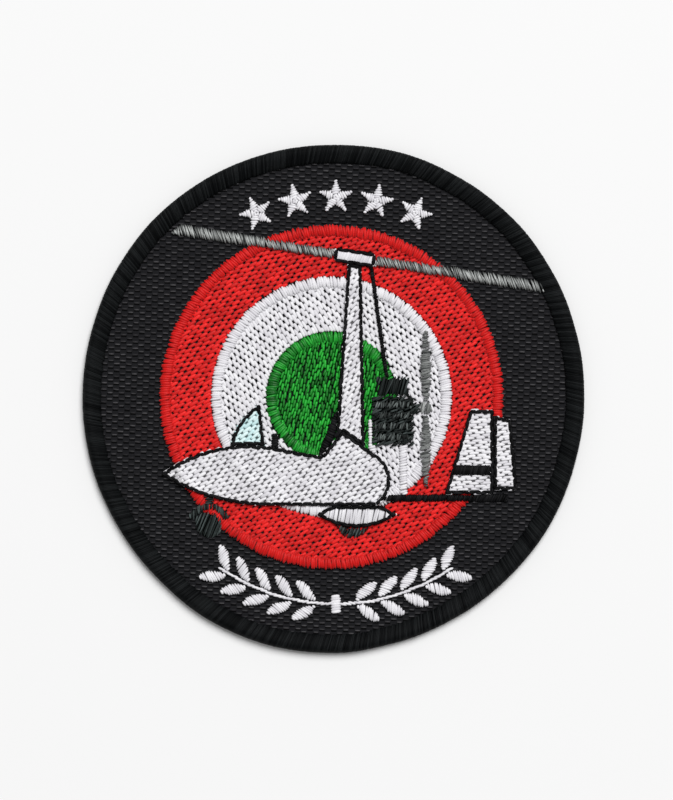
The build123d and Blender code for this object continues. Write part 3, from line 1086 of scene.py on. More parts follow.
@dataclass
class RunLine:
    """A run-stitched line along the rim of a field, sewn twice so that it looks like rope."""

    node: str
    area: NodeArea
    finish: ThreadFinish = LINE_THREAD
    inset: float = 0.26
    length: float = 1.7
    passes: tuple[Range, ...] = ((0.0, 0.09), (0.5, -0.09))
    half_width: float = 0.21
    half_height: float = 0.15
    foot: float = 0.27
    loft: float = 0.17
    arch: Range = (3.0, 1.0)
    seed: int = 3
    step: float = 0.12
    fewest: int = 12
    corner_reach: int = 4
    corner_turn: float = 0.5
    shortest: float = 0.4
    hole_jitter: float = 0.12
    sway: float = 0.03
    width_spread: Range = (0.9, 1.1)

    def build(self, mould: StitchMould) -> None:
        """Sews the line.

        Args:
            mould: The stitch that is copied.
        """
        draw = np.random.default_rng(self.seed)
        stretches = self.stretches(self.resample(self.area.longest_rim()))
        stations = np.array(mould.stations)
        paths = []
        for shift, side in self.passes:
            for stretch in stretches:
                paths += self.sew(stretch, shift, side, stations, draw)
        count = len(paths)
        width = self.half_width * draw.uniform(*self.width_spread, count)
        tone = self.finish.tones(draw, count)
        Threads(self.node, self.finish).lay(mould, np.array(paths), width, self.half_height, tone)

    def resample(self, rim: Array) -> Array:
        """Points at even distances along a closed rim.

        Args:
            rim: Corners of the rim.

        Returns:
            The even points.
        """
        marks = travelled(closed(rim))
        places = np.linspace(0, marks[-1], max(self.fewest, int(marks[-1] / self.step)), endpoint=False)
        return np.stack([np.interp(places, marks, axis) for axis in closed(rim).T], axis=1)

    def stretches(self, rim: Array) -> list[Array]:
        """Divides the rim at its corners and moves each stretch in from the edge.

        Args:
            rim: Even points along the rim, with the area on the left.

        Returns:
            Points of each stretch, from corner to corner.
        """
        count, reach = len(rim), self.corner_reach
        ahead = np.roll(rim, -reach, axis=0) - rim
        behind = rim - np.roll(rim, reach, axis=0)
        cross = behind[:, 0] * ahead[:, 1] - behind[:, 1] * ahead[:, 0]
        sharp = np.abs(np.arctan2(cross, (behind * ahead).sum(axis=1)))
        corners: list[int] = []
        last = -count
        for k in range(count):
            near = max(sharp[(k + j) % count] for j in range(-reach, reach + 1))
            if sharp[k] > self.corner_turn and sharp[k] >= near:
                if k - last > reach:
                    corners.append(k)
                last = k
        along = np.roll(rim, -1, axis=0) - np.roll(rim, 1, axis=0)
        along /= np.linalg.norm(along, axis=1, keepdims=True)
        line = rim + np.stack([-along[:, 1], along[:, 0]], axis=1) * self.inset
        if not corners:
            return [closed(line)]
        pairs = zip(corners, [*corners[1:], corners[0] + count])
        return [line[np.arange(start, end + 1) % count] for start, end in pairs]

    def sew(
        self, line: Array, shift: float, side: float, stations: Array, draw: Draw
    ) -> list[Array]:
        """Sews one pass along one stretch.

        Args:
            line: Points of the stretch.
            shift: Share of a stitch by which this pass is moved on.
            side: Distance of this pass from the middle of the line.
            stations: Places along a stitch.
            draw: Source of the small differences between stitches.

        Returns:
            The path of each stitch.
        """
        marks = travelled(line)
        total = marks[-1]
        if total < self.shortest:
            return []
        count = max(1, round(total / self.length))
        holes = np.linspace(0, total, count + 1)
        if shift and count > 1:
            holes = np.concatenate([[0], (holes[:-1] + holes[1:]) / 2, [total]])
        holes[1:-1] += draw.uniform(-self.hole_jitter, self.hole_jitter, len(holes) - 2)
        rise = self.loft * arched(stations, *self.arch)
        paths = []
        for start, end in zip(holes[:-1], holes[1:]):
            places = start + (end - start) * stations
            x, y = (np.interp(places, marks, axis) for axis in line.T)
            normal = np.array([-(y[-1] - y[0]), x[-1] - x[0]])
            offset = side + draw.uniform(-self.sway, self.sway)
            normal = normal / max(np.linalg.norm(normal), TINY) * offset
            z = face_level(x, y) + self.foot + rise
            paths.append(np.stack([x + normal[0], y + normal[1], z], axis=1))
        return paths


def across_arm(x: float, y: float, lean: float, reach: float, tilt: float, half: float) -> Ends:
    """Ends of a stitch across an arm.

    Args:
        x: Position of the arm's foot to the right.
        y: Position of the arm's foot towards the top.
        lean: Direction of the arm, in radians.
        reach: Distance of the stitch from the foot.
        tilt: How far its ends lie before and behind that.
        half: Half of its length across the arm.

    Returns:
        Start and end of the stitch.
    """
    out, up = math.cos(lean), math.sin(lean)
    return (
        x + (reach - tilt) * out - half * up,
        y + (reach - tilt) * up + half * out,
        x + (reach + tilt) * out + half * up,
        y + (reach + tilt) * up - half * out,
    )


@dataclass
class Spray:
    """Stitched ornaments in the band between the roundel and the border."""

    band: float = 32.15
    star_radius: float = 2.8
    star_waist: float = 1.2
    star_arms: int = 5
    star_angles: tuple[float, ...] = (113.0, 101.5, 90.0, 78.5, 67.0)
    star_start: float = 0.28
    star_tilt: float = 0.12
    star_margin: float = 0.04
    star_seed: int = 40
    leaf_length: float = 4.3
    leaf_width: float = 1.7
    leaf_splay: float = 38.0
    leaf_root: float = 2.6
    leaf_step: float = 6.6
    leaf_pairs: int = 5
    leaf_foot: float = 0.45
    leaf_start: float = 0.25
    leaf_tilt: float = 0.45
    leaf_margin: float = 0.05
    laurel_seed: int = 60
    stem_sweep: float = 36.0
    stem_start: float = 1.34
    stem_pitch: float = 0.75
    stem_ends: tuple[Range, ...] = ((-0.35, -0.14), (1.25, 0.14))
    stem_loft: float = 0.16
    loft: float = 0.33
    foot: float = 0.08
    tip: float = 0.1
    pitch: float = 0.37
    half_width: float = 0.2
    half_height: float = 0.14
    arch: Range = (2.4, 0.7)
    waver: float = 0.05
    loft_spread: Range = (0.92, 1.05)
    width_spread: Range = (0.92, 1.08)
    finish: ThreadFinish = WHITE_THREAD

    def build(self, mould: StitchMould) -> None:
        """Sews the stars, the stems and the leaves.

        Args:
            mould: The stitch that is copied.
        """
        for number, angle in enumerate(self.star_angles, start=1):
            draw = np.random.default_rng(self.star_seed + number)
            self.sew(f"star_{number}", self.star(math.radians(angle)), mould, draw, self.loft)
        for name, side in (("left", -1), ("right", 1)):
            draw = np.random.default_rng(self.laurel_seed + side)
            self.sew(f"laurel_stem_{name}", self.stem(side), mould, draw, self.stem_loft)
            self.sew(f"laurel_leaves_{name}", self.leaves(side), mould, draw, self.loft)

    def star(self, angle: float) -> list[Ends]:
        """Satin stitches across each arm of a star.

        Args:
            angle: Bearing of the star from the centre, in radians.

        Returns:
            Start and end of each stitch.
        """
        found = []
        x, y = self.band * math.cos(angle), self.band * math.sin(angle)
        waist = math.pi / self.star_arms
        shoulder = self.star_waist * math.cos(waist)
        for arm in range(self.star_arms):
            lean = angle + arm * 2 * waist
            for reach in np.arange(self.star_start, self.star_radius - self.tip, self.pitch):
                if reach < shoulder:
                    half = reach * math.tan(waist)
                else:
                    share = (self.star_radius - reach) / (self.star_radius - shoulder)
                    half = self.star_waist * math.sin(waist) * share
                found.append(across_arm(x, y, lean, reach, self.star_tilt, half + self.star_margin))
        return found

    def stem(self, side: int) -> list[Ends]:
        """Short slanted stitches along a stem.

        Args:
            side: 1 for the right spray and -1 for the left one.

        Returns:
            Start and end of each stitch.
        """
        found = []
        step = math.degrees(self.stem_pitch / self.band)
        for turn in np.arange(self.stem_start, self.stem_sweep - step, step):
            ends = []
            for share, drift in self.stem_ends:
                bearing = math.radians(-90 + side * min(turn + step * share, self.stem_sweep))
                radius = self.band + drift
                ends += [radius * math.cos(bearing), radius * math.sin(bearing)]
            found.append(tuple(ends))
        return found

    def leaves(self, side: int) -> list[Ends]:
        """Satin stitches across each leaf of a spray.

        Args:
            side: 1 for the right spray and -1 for the left one.

        Returns:
            Start and end of each stitch.
        """
        found = []
        half_chord, rise = self.leaf_length / 2, self.leaf_width / 2
        bend = (half_chord**2 + rise**2) / (2 * rise)
        for pair in range(self.leaf_pairs):
            angle = -90 + side * (self.leaf_root + self.leaf_step * (pair + 0.5))
            for splay in (self.leaf_splay, -self.leaf_splay):
                lean = math.radians(angle + side * 90 + splay)
                radius = self.band + (self.leaf_foot if side * splay < 0 else -self.leaf_foot)
                x, y = radius * math.cos(math.radians(angle)), radius * math.sin(math.radians(angle))
                for reach in np.arange(self.leaf_start, self.leaf_length - self.tip, self.pitch):
                    arc = math.sqrt(bend**2 - (reach - half_chord) ** 2) - (bend - rise)
                    half = arc + self.leaf_margin
                    found.append(across_arm(x, y, lean, reach, half * self.leaf_tilt, half))
        return found

    def sew(self, node: str, ends: list[Ends], mould: StitchMould, draw: Draw, loft: float) -> None:
        """Lays the stitches of one ornament on the cloth.

        Args:
            node: The node that the ornament replaces.
            ends: Start and end of each stitch.
            mould: The stitch that is copied.
            draw: Source of the small differences between stitches.
            loft: Rise of the stitch's middle above its ends.
        """
        count = len(ends)
        table = np.array(ends) + draw.normal(0, self.waver, (count, 4))
        stations = np.array(mould.stations)[None]
        x = table[:, :1] + (table[:, 2:3] - table[:, :1]) * stations
        y = table[:, 1:2] + (table[:, 3:4] - table[:, 1:2]) * stations
        rise = loft * arched(stations, *self.arch) * draw.uniform(*self.loft_spread, (count, 1))
        paths = np.stack([x, y, HEIGHTS.cloth_top + self.foot + rise], axis=2)
        width = self.half_width * draw.uniform(*self.width_spread, count)
        tone = self.finish.tones(draw, count)
        Threads(node, self.finish).lay(mould, paths, width, self.half_height, tone)


@dataclass
class LayerDisc:
    """A round layer of the patch, cut along the rim: rings of faces on top and below, and a side."""

    name: str
    bottom: float
    top: float
    shy: float = 0.55
    segments: int = 144
    rings: int = 12
    back_rings: int = 12
    rim_power: int = 4

    def build(self) -> Piece:
        """Models the layer from one ring.

        Returns:
            The layer, at the origin.
        """
        radius = (OUTLINE.radius - self.shy) * MM
        thickness = (self.top - self.bottom) * MM
        deselect_all()
        bpy.ops.mesh.primitive_circle_add(
            vertices=self.segments, radius=radius, fill_type="NGON", location=(0, 0, 0)
        )
        layer = bpy.context.object
        layer.name = layer.data.name = self.name
        bpy.ops.object.mode_set(mode="EDIT")
        bpy.ops.mesh.select_all(action="SELECT")
        bpy.ops.mesh.extrude_region_move(TRANSFORM_OT_translate={"value": (0, 0, thickness)})
        self.divide(radius, self.rings)
        bpy.ops.mesh.select_all(action="DESELECT")
        bpy.ops.object.mode_set(mode="OBJECT")
        for polygon in layer.data.polygons:
            polygon.select = all(layer.data.vertices[k].co.z < TINY for k in polygon.vertices)
        bpy.ops.object.mode_set(mode="EDIT")
        self.divide(radius, self.back_rings)
        bpy.ops.mesh.select_all(action="SELECT")
        bpy.ops.mesh.normals_make_consistent(inside=False)
        bpy.ops.object.mode_set(mode="OBJECT")
        self.shape(layer.data)
        return layer

    @staticmethod
    def divide(radius: float, rings: int) -> None:
        """Divides the selected round face into rings, and the innermost one into a fan.

        Args:
            radius: Radius of the face, in metres.
            rings: Number of rings.
        """
        for _ in range(rings - 1):
            bpy.ops.mesh.inset(thickness=radius / rings)
        bpy.ops.mesh.poke()

    def shape(self, mesh: Mesh) -> None:
        """Moves the layer to its height, gives it the rim's flats and shapes its back.

        Args:
            mesh: The layer's mesh.
        """
        points = np.array([vertex.co[:] for vertex in mesh.vertices]) / MM
        low = points[:, 2] < (self.top - self.bottom) / 2
        angle = np.arctan2(points[:, 1], points[:, 0])
        share = np.hypot(points[:, 0], points[:, 1]) / OUTLINE.radius
        grow = OUTLINE.offset(angle) / OUTLINE.radius * share**self.rim_power
        points[:, :2] *= (1 + grow)[:, None]
        points[:, 2] += self.bottom
        points[:, 2] += np.where(low, self.back_relief(points[:, 0], points[:, 1]), 0.0)
        mesh.vertices.foreach_set("co", (points * MM).astype(np.float32).ravel())
        mesh.update()

    def back_relief(self, x: Array, y: Array) -> Array:
        """Height of the back face above its plain level."""
        return np.zeros_like(x)


@dataclass
class FilmDisc(LayerDisc):
    """The heat-seal film: the rings of the roundel show through it as shallow ridges."""

    back_rings: int = 60
    relief: float = 0.05
    ridge_width: float = 0.7

    def back_relief(self, x: Array, y: Array) -> Array:
        """Height of the back face above its plain level."""
        ridges = ROUNDEL.ridges(ROUNDEL.distance(x, y), ROUNDEL.satin / 2, self.ridge_width)
        return self.relief * (1 - np.clip(ridges, 0, 1))


@dataclass(frozen=True)
class WeaveFinish:
    """Dark cloth: fine yarns across it, and below each float of yarn a sunken slot, coloured almost black
    as painted shadow of the float.
    """

    slot: str = "ground_cloth"
    light: Colour = (36, 36, 39)
    dark: Colour = (13, 13, 15)
    shadow_colour: Colour = (0, 0, 1)
    yarn: float = 0.24
    fuzz_scale: float = 9000.0
    fuzz_detail: float = 3.0
    relief: float = 0.2
    row_tone: float = 0.12
    slot_drop: float = 0.22
    slot_length: float = 0.44
    slot_width: float = 0.15
    slot_depth: float = 2.0
    length_blur: float = 0.06
    width_blur: float = 0.05
    bump_strength: float = 0.4
    bump_depth: float = 0.05
    roughness: float = 0.55
    fuzz_roughness: float = 0.3
    specular: float = 0.06

    def material(self) -> Material:
        """Builds the material.

        Returns:
            The material.
        """
        material, graph, shader = new_material(f"{self.slot}_finish")
        lay = graph.mapped(graph.place(), {"Rotation": (0, 0, math.radians(-WEAVE.turn))})
        x, y = graph.split(lay)
        rows, yarns = (
            graph.math("SINE", graph.math("MULTIPLY", place, 2 * math.pi / (repeat * MM)))
            for place, repeat in ((y, WEAVE.row), (x, self.yarn))
        )
        fuzz = graph.noise(lay, self.fuzz_scale, self.fuzz_detail)
        cloth = graph.mix(graph.plus(fuzz, rows, self.row_tone), srgb(*self.dark), srgb(*self.light))
        shadow_slots = self.shadow_slots(graph, x, y)
        # Painted shadow: the slots below the floats take shadow_colour, almost black.
        graph.feed(shader.inputs["Base Color"], graph.mix(shadow_slots, cloth, srgb(*self.shadow_colour)))
        woven = graph.plus(graph.math("MULTIPLY", rows, self.relief), yarns, self.relief)
        height = graph.plus(graph.math("ADD", woven, fuzz), shadow_slots, -self.slot_depth)
        graph.bump(shader, height, self.bump_strength, self.bump_depth)
        graph.feed(shader.inputs["Roughness"], graph.plus(self.roughness, fuzz, self.fuzz_roughness))
        shader.inputs["Specular IOR Level"].default_value = self.specular
        return material

    def shadow_slots(
        self, graph: NodeGraph, x: Socket, y: Socket
    ) -> Socket:
        """Marks the slots between the yarns that carry the painted shadow below each float, in rows with
        every other row moved by half a repeat.

        Args:
            graph: The material's graph.
            x: Position along the rows, in metres.
            y: Position across the rows, in metres.

        Returns:
            1 in a slot and 0 beside it.
        """
        row, repeat = WEAVE.row * MM, WEAVE.repeat * MM
        lowered = graph.math("ADD", y, self.slot_drop * MM)
        number = graph.math("ROUND", graph.math("DIVIDE", lowered, row))
        odd = graph.math("FLOORED_MODULO", number, 2.0)
        moved = graph.math("SUBTRACT", x, graph.math("MULTIPLY", odd, repeat / 2))
        masks = []
        for place, period, half, blur in (
            (moved, repeat, self.slot_length, self.length_blur),
            (lowered, row, self.slot_width, self.width_blur),
        ):
            away = graph.math("ABSOLUTE", graph.math("WRAP", place, period / 2, -period / 2))
            masks.append(graph.step(away, (half + blur) * MM, (half - blur) * MM))
        return graph.math("MULTIPLY", *masks)


@dataclass(frozen=True)
class FeltFinish:
    """Pressed felt: matted pale fibres."""

    slot: str = "backing_felt"
    light: Colour = (236, 234, 228)
    dark: Colour = (206, 203, 196)
    fibre_scale: float = 5200.0
    fibre_detail: float = 5.0
    fibre_share: float = 0.7
    clump_scale: float = 700.0
    clump_detail: float = 2.0
    clump_share: float = 0.3
    bump_strength: float = 0.6
    bump_depth: float = 0.08
    roughness: float = 0.8
    clump_roughness: float = 0.2
    sheen: float = 0.3

    def material(self) -> Material:
        """Builds the material.

        Returns:
            The material.
        """
        material, graph, shader = new_material(f"{self.slot}_finish")
        place = graph.place()
        fibres = graph.noise(place, self.fibre_scale, self.fibre_detail)
        clumps = graph.noise(place, self.clump_scale, self.clump_detail)
        share = graph.plus(graph.math("MULTIPLY", fibres, self.fibre_share), clumps, self.clump_share)
        graph.feed(shader.inputs["Base Color"], graph.mix(share, srgb(*self.dark), srgb(*self.light)))
        graph.bump(shader, fibres, self.bump_strength, self.bump_depth)
        graph.feed(shader.inputs["Roughness"], graph.plus(self.roughness, clumps, self.clump_roughness))
        shader.inputs["Sheen Weight"].default_value = self.sheen
        return material


@dataclass(frozen=True)
class FilmFinish:
    """Milky heat-seal film: uneven gloss, with the bobbin threads faintly raised behind it."""

    slot: str = "seal_film"
    clear: Colour = (196, 195, 190)
    thick: Colour = (168, 168, 164)
    tints: tuple[tuple[float, Colour], ...] = (
        (ROUNDEL.red, (208, 172, 168)), (ROUNDEL.white, (212, 212, 210)), (ROUNDEL.green, (172, 198, 174)),
    )
    drift_scale: float = 160.0
    drift_share: float = 0.7
    peel_scale: float = 1900.0
    strand_scale: float = 2600.0
    detail: float = 2.0
    ripple_scale: float = 420.0
    ripple_distortion: float = 1.5
    ripple_share: float = 0.3
    ripple_height: float = 0.5
    bump_strength: float = 0.35
    bump_depth: float = 0.06
    roughness: float = 0.24
    drift_roughness: float = 0.25
    coat: float = 0.3
    coat_roughness: float = 0.3
    tint_blur: float = 0.4
    tint_least: float = 0.25
    tint_gain: float = 0.6

    def material(self) -> Material:
        """Builds the material.

        Returns:
            The material.
        """
        material, graph, shader = new_material(f"{self.slot}_finish")
        place = graph.place()
        drift = graph.noise(place, self.drift_scale, self.detail)
        peel = graph.noise(place, self.peel_scale, self.detail)
        wave = graph.add("ShaderNodeTexWave", wave_type="BANDS", bands_direction="DIAGONAL")
        graph.feed(wave.inputs["Vector"], place)
        graph.preset(wave, {"Scale": self.ripple_scale, "Distortion": self.ripple_distortion})
        ripple = wave.outputs["Fac"]
        share = graph.plus(graph.math("MULTIPLY", drift, self.drift_share), ripple, self.ripple_share)
        film = graph.mix(share, srgb(*self.thick), srgb(*self.clear))
        graph.feed(shader.inputs["Base Color"], self.tinted(graph, place, film))
        height = graph.plus(peel, ripple, self.ripple_height)
        graph.bump(shader, height, self.bump_strength, self.bump_depth)
        graph.feed(shader.inputs["Roughness"], graph.plus(self.roughness, drift, self.drift_roughness))
        shader.inputs["Coat Weight"].default_value = self.coat
        shader.inputs["Coat Roughness"].default_value = self.coat_roughness
        return material

    def tinted(
        self, graph: NodeGraph, place: Socket, colour: Socket
    ) -> Socket:
        """Lets the threads of the rings show faintly through the film.

        Args:
            graph: The material's graph.
            place: Object coordinates, in metres.
            colour: The film's own colour.

        Returns:
            The tinted colour.
        """
        flat = graph.add("ShaderNodeVectorMath", operation="MULTIPLY")
        graph.feed(flat.inputs[0], place)
        flat.inputs[1].default_value = (1.0, 1.0, 0.0)
        offset = graph.add("ShaderNodeVectorMath", operation="DISTANCE")
        graph.feed(offset.inputs[0], flat.outputs["Vector"])
        offset.inputs[1].default_value = (ROUNDEL.x * MM, ROUNDEL.y * MM, 0.0)
        strands = graph.noise(place, self.strand_scale, self.detail)
        for radius, tint in self.tints:
            edges = ((radius + self.tint_blur) * MM, (radius - self.tint_blur) * MM)
            inside = graph.step(offset.outputs["Value"], *edges)
            strength = graph.math("MULTIPLY", inside, graph.plus(self.tint_least, strands, self.tint_gain))
            colour = graph.mix(strength, colour, srgb(*tint))
        return colour


@dataclass
class Backing:
    """The layers behind the stitches: film, felt and the woven ground."""

    hem: float = 0.4
    cloth_sink: float = 0.08
    float_finish: ThreadFinish = LIT_GROUND_YARN
    float_length: float = 0.44
    half_width: float = 0.12
    half_height: float = 0.10
    float_sink: float = 0.06
    float_droop: float = 0.06
    droop_power: int = 3
    border_cover: float = 2.4
    roundel_cover: float = 0.6
    seed: int = 11
    waver: float = 0.02
    turn_waver: float = 0.03
    length_spread: Range = (0.85, 1.1)
    width_spread: Range = (0.9, 1.15)

    def build(self) -> None:
        film = FilmDisc("heat_seal_film_layer", 0.0, HEIGHTS.film_top).build()
        settle(film, "heat_seal_film", FilmFinish().material())
        felt = LayerDisc("backing_felt_layer", HEIGHTS.film_top, HEIGHTS.felt_top).build()
        settle(felt, "backing_felt", FeltFinish().material())
        cloth_top = HEIGHTS.cloth_top - self.cloth_sink
        cloth = LayerDisc("ground_cloth_layer", HEIGHTS.felt_top, cloth_top).build()
        settle(cloth, "ground_cloth", WeaveFinish().material())
        floats = self.floats()

    def spots(self, draw: Draw) -> tuple[Array, Array]:
        """Middles of the floats on the part of the cloth that shows.

        Args:
            draw: Source of the small differences between floats.

        Returns:
            Positions to the right and towards the top.
        """
        limit = OUTLINE.radius + 1.0
        rows, steps = int(limit / WEAVE.row) + 2, int(limit / WEAVE.repeat) + 2
        places = [
            (step * WEAVE.repeat + WEAVE.repeat / 2 * (row % 2), row * WEAVE.row)
            for row in range(-rows, rows + 1)
            for step in range(-steps, steps + 1)
        ]
        along, across = (np.array(places) + draw.normal(0, self.waver, (len(places), 2))).T
        x, y = from_rows(along, across, math.radians(WEAVE.turn))
        rim = OUTLINE.radius - self.border_cover + OUTLINE.offset(np.arctan2(y, x))
        shown = (np.hypot(x, y) < rim) & (ROUNDEL.distance(x, y) > ROUNDEL.red - self.roundel_cover)
        return x[shown], y[shown]

    def floats(self) -> Piece:
        """Copies one short float of yarn over the part of the cloth that shows.

        Returns:
            The floats as one piece.
        """
        draw = np.random.default_rng(self.seed)
        mould = StitchMould(stations=(0.0, 0.1, 0.5, 0.9, 1.0), swell=(0.4, 0.9, 1.0, 0.9, 0.4))
        x, y = self.spots(draw)
        count = len(x)
        ends = (2 * np.array(mould.stations) - 1)[None] * self.float_length
        reach = ends * draw.uniform(*self.length_spread, (count, 1))
        turn = (math.radians(WEAVE.turn) + draw.normal(0, self.turn_waver, count))[:, None]
        droop = self.float_droop * np.abs(reach / self.float_length) ** self.droop_power
        z = HEIGHTS.cloth_top - self.float_sink - droop
        paths = np.stack([x[:, None] + reach * np.cos(turn), y[:, None] + reach * np.sin(turn), z], axis=2)
        width = self.half_width * draw.uniform(*self.width_spread, count)
        heights = np.full(count, self.half_height)
        tone = self.float_finish.tones(draw, count)
        piece = mould.copy_along("ground_cloth_floats", paths, width, heights, tone)
        settle(piece, "ground_cloth", self.float_finish.material())
        return piece


@dataclass
class Emblem:
    """The roundel's three filled rings with their satin edges."""

    red_angle: float = 31.5
    white_angle: float = 120.0
    green_angle: float = 77.0
    # Painted shade: the satin edges take a darker tone of their ring's thread than its filling, for the
    # shade between their raised strands.
    red_shade: float = 0.52
    white_shade: float = 0.8
    green_shade: float = 0.72
    green_rows: dict[str, float] = field(
        default_factory=lambda: {
            "length": 1.3, "waver": 0.08, "half_width": 0.2, "half_height": 0.19, "hole": 0.05,
        }
    )
    first_seed: int = 20
    edge_seed_step: int = 5

    def build(self, moulds: Moulds) -> None:
        """Sews the rings.

        Args:
            moulds: The stitches that can be copied.
        """
        edge = ROUNDEL.satin
        rings = (
            ("red", RED_THREAD, ROUNDEL.white, ROUNDEL.red, self.red_angle, self.red_shade, {}),
            ("white", WHITE_THREAD, ROUNDEL.green, ROUNDEL.white, self.white_angle, self.white_shade, {}),
            (
                "green", GREEN_THREAD, 0.0, ROUNDEL.green, self.green_angle, self.green_shade,
                self.green_rows,
            ),
        )
        for seed, ring in enumerate(rings, start=self.first_seed):
            name, finish, inner, outer, angle, shade, rows = ring
            area = RingArea(inner, outer - edge)
            Field(
                f"{name}_filling", finish, area, Stitch.FILLING, angle, Level.CLOTH, seed=seed, **rows
            ).build(moulds)
            edging = SatinRing(
                f"{name}_satin_edge", finish, outer, shade=shade, seed=seed + self.edge_seed_step
            )
            edging.build(moulds[Stitch.SATIN])


@dataclass(frozen=True)
class FieldPlan:
    """How one field of the figure is sewn."""

    node: str
    finish: ThreadFinish
    stitch: Stitch
    angle: float
    level: Level = Level.FACE
    pitch: float = 0.40
    half_width: float = 0.258
    half_height: float = 0.12
    waver: float = 0.03
    overlap: float = 0.04
    loft: float = 0.27
    shade: float = 1.0
    end_shade: float = 0.0
    padded: bool = False

    def sew(self, area: NodeArea, seed: int, moulds: Moulds) -> None:
        """Sews the field, over its underlay if it is padded.

        Args:
            area: The area that is covered.
            seed: Start of the random draws.
            moulds: The stitches that can be copied.
        """
        # The underlay is the thread's darkened copy: painted shade that shows in the gaps between the
        # stitches above it.
        if self.padded:
            Field(
                self.node, self.finish.shaded(), area, Stitch.UNDERLAY, self.angle + 90.0, self.level,
                label="underlay", seed=seed, **UNDERLAY_ROWS,
            ).build(moulds)
        Field(
            self.node, self.finish, area, self.stitch, self.angle, self.level, self.pitch,
            half_width=self.half_width, half_height=self.half_height, loft=self.loft,
            overlap=self.overlap, waver=self.waver, shade=self.shade, end_shade=self.end_shade, seed=seed,
        ).build(moulds)


UNDERLAY_ROWS = {"half_height": 0.1, "loft": 0.06, "overlap": -0.25, "hole": -0.12, "inset": 0.32}
# The blades' end_shade is painted shade along their edges.
BLADE_ROWS = {
    "pitch": 0.17, "half_width": 0.115, "waver": 0.12, "overlap": -0.02,
    "loft": 0.5, "end_shade": 0.9, "padded": True,
}
WHEEL_ROWS = {"pitch": 0.21, "half_width": 0.14, "waver": 0.14, "loft": 0.36, "padded": True}
FORK_ROWS = {"pitch": 0.24, "half_width": 0.15, "waver": 0.1}
LINED_ROWS = {"overlap": -0.12, "padded": True}
SPAT_ROWS = {"pitch": 0.36, "half_width": 0.2, "half_height": 0.15, "waver": 0.08, **LINED_ROWS}
BLOCK_ROWS = {"pitch": 0.27, "half_width": 0.17, "waver": 0.16, "shade": 0.5, "padded": True}
HEAD_ROWS = {"pitch": 0.22, "half_width": 0.15, "waver": 0.14, "shade": 0.5, "padded": True}
PROPELLER_ROWS = {"pitch": 0.2, "half_width": 0.135, "waver": 0.16, "loft": 0.45, "shade": 0.4}
SPINNER_ROWS = {"pitch": 0.22, "half_width": 0.14, "waver": 0.1, "shade": 0.7}
FIN_ROWS = {"level": Level.FIGURE, "pitch": 0.22, "half_width": 0.14, "waver": 0.18}
TAILPLANE_ROWS = {"level": Level.FIGURE, "pitch": 0.26, "waver": 0.05}

FIGURE_PLANS = (
    FieldPlan("rotor_blade_front", GREY_THREAD, Stitch.SATIN, 108.0, **BLADE_ROWS),
    FieldPlan("rotor_blade_rear", GREY_THREAD, Stitch.SATIN, 112.0, **BLADE_ROWS),
    FieldPlan("rotor_head", WHITE_THREAD, Stitch.SATIN, 68.0, **LINED_ROWS),
    FieldPlan("mast", WHITE_THREAD, Stitch.FILLING, 48.0, **LINED_ROWS),
    FieldPlan("pod", WHITE_THREAD, Stitch.FILLING, 32.0, pitch=0.42, half_width=0.27, **LINED_ROWS),
    FieldPlan("windscreen", CYAN_THREAD, Stitch.FILLING, 40.0, **LINED_ROWS),
    FieldPlan("tail_fin", WHITE_THREAD, Stitch.FILLING, 4.0, **LINED_ROWS),
    FieldPlan("rudder", WHITE_THREAD, Stitch.FILLING, 8.0, **LINED_ROWS),
    FieldPlan("wheel_spat", WHITE_THREAD, Stitch.SATIN, 80.0, **SPAT_ROWS),
    FieldPlan("engine_posts", WHITE_THREAD, Stitch.SATIN, 15.0, half_width=0.23, waver=0.06),
    FieldPlan("engine_block", CHARCOAL_THREAD, Stitch.FILLING, 24.0, **BLOCK_ROWS),
    FieldPlan("cylinder_head", CHARCOAL_THREAD, Stitch.SATIN, 74.0, **HEAD_ROWS),
    FieldPlan("main_wheel", CHARCOAL_THREAD, Stitch.SATIN, 68.0, **WHEEL_ROWS),
    FieldPlan("nose_wheel", CHARCOAL_THREAD, Stitch.SATIN, 68.0, **WHEEL_ROWS),
    FieldPlan("nose_fork", CHARCOAL_THREAD, Stitch.SATIN, 10.0, **FORK_ROWS),
    FieldPlan("nose_guard", CHARCOAL_THREAD, Stitch.SATIN, 90.0, **FORK_ROWS),
    FieldPlan("propeller", GREY_THREAD, Stitch.SATIN, 12.0, **PROPELLER_ROWS),
    FieldPlan("spinner", GREY_THREAD, Stitch.SATIN, 80.0, **SPINNER_ROWS),
    FieldPlan("keel_tube", LINE_THREAD, Stitch.SATIN, 65.0, pitch=0.26, half_width=0.18, waver=0.06),
    FieldPlan("control_rod", LINE_THREAD, Stitch.SATIN, 30.0, waver=0.05),
    FieldPlan("instrument_panel", LINE_THREAD, Stitch.SATIN, 10.0, waver=0.06),
    FieldPlan("seat", LINE_THREAD, Stitch.SATIN, 150.0, waver=0.06),
    FieldPlan("cooling_fins", DARK_GREY_THREAD, Stitch.SATIN, 72.0, **FIN_ROWS),
    FieldPlan("tailplane", LINE_THREAD, Stitch.SATIN, 70.0, **TAILPLANE_ROWS),
    FieldPlan("laurel_tie", WHITE_THREAD, Stitch.SATIN, 8.0),
)

LINED_FIELDS = ("pod", "windscreen", "rotor_head", "mast", "tail_fin", "rudder", "wheel_spat")


@dataclass
class Figure:
    """The small aircraft in the middle: its fields and the lines around them."""

    nodes: dict[str, Piece]
    first_seed: int = 100
    first_line_seed: int = 200

    def build(self, moulds: Moulds) -> None:
        """Sews the fields and then the lines.

        Args:
            moulds: The stitches that can be copied.
        """
        for seed, plan in enumerate(FIGURE_PLANS, start=self.first_seed):
            plan.sew(NodeArea(self.nodes[plan.node]), seed, moulds)
        for seed, name in enumerate(LINED_FIELDS, start=self.first_line_seed):
            line = f"{name}_line"
            RunLine(line, NodeArea(self.nodes[line]), seed=seed).build(moulds[Stitch.SATIN])


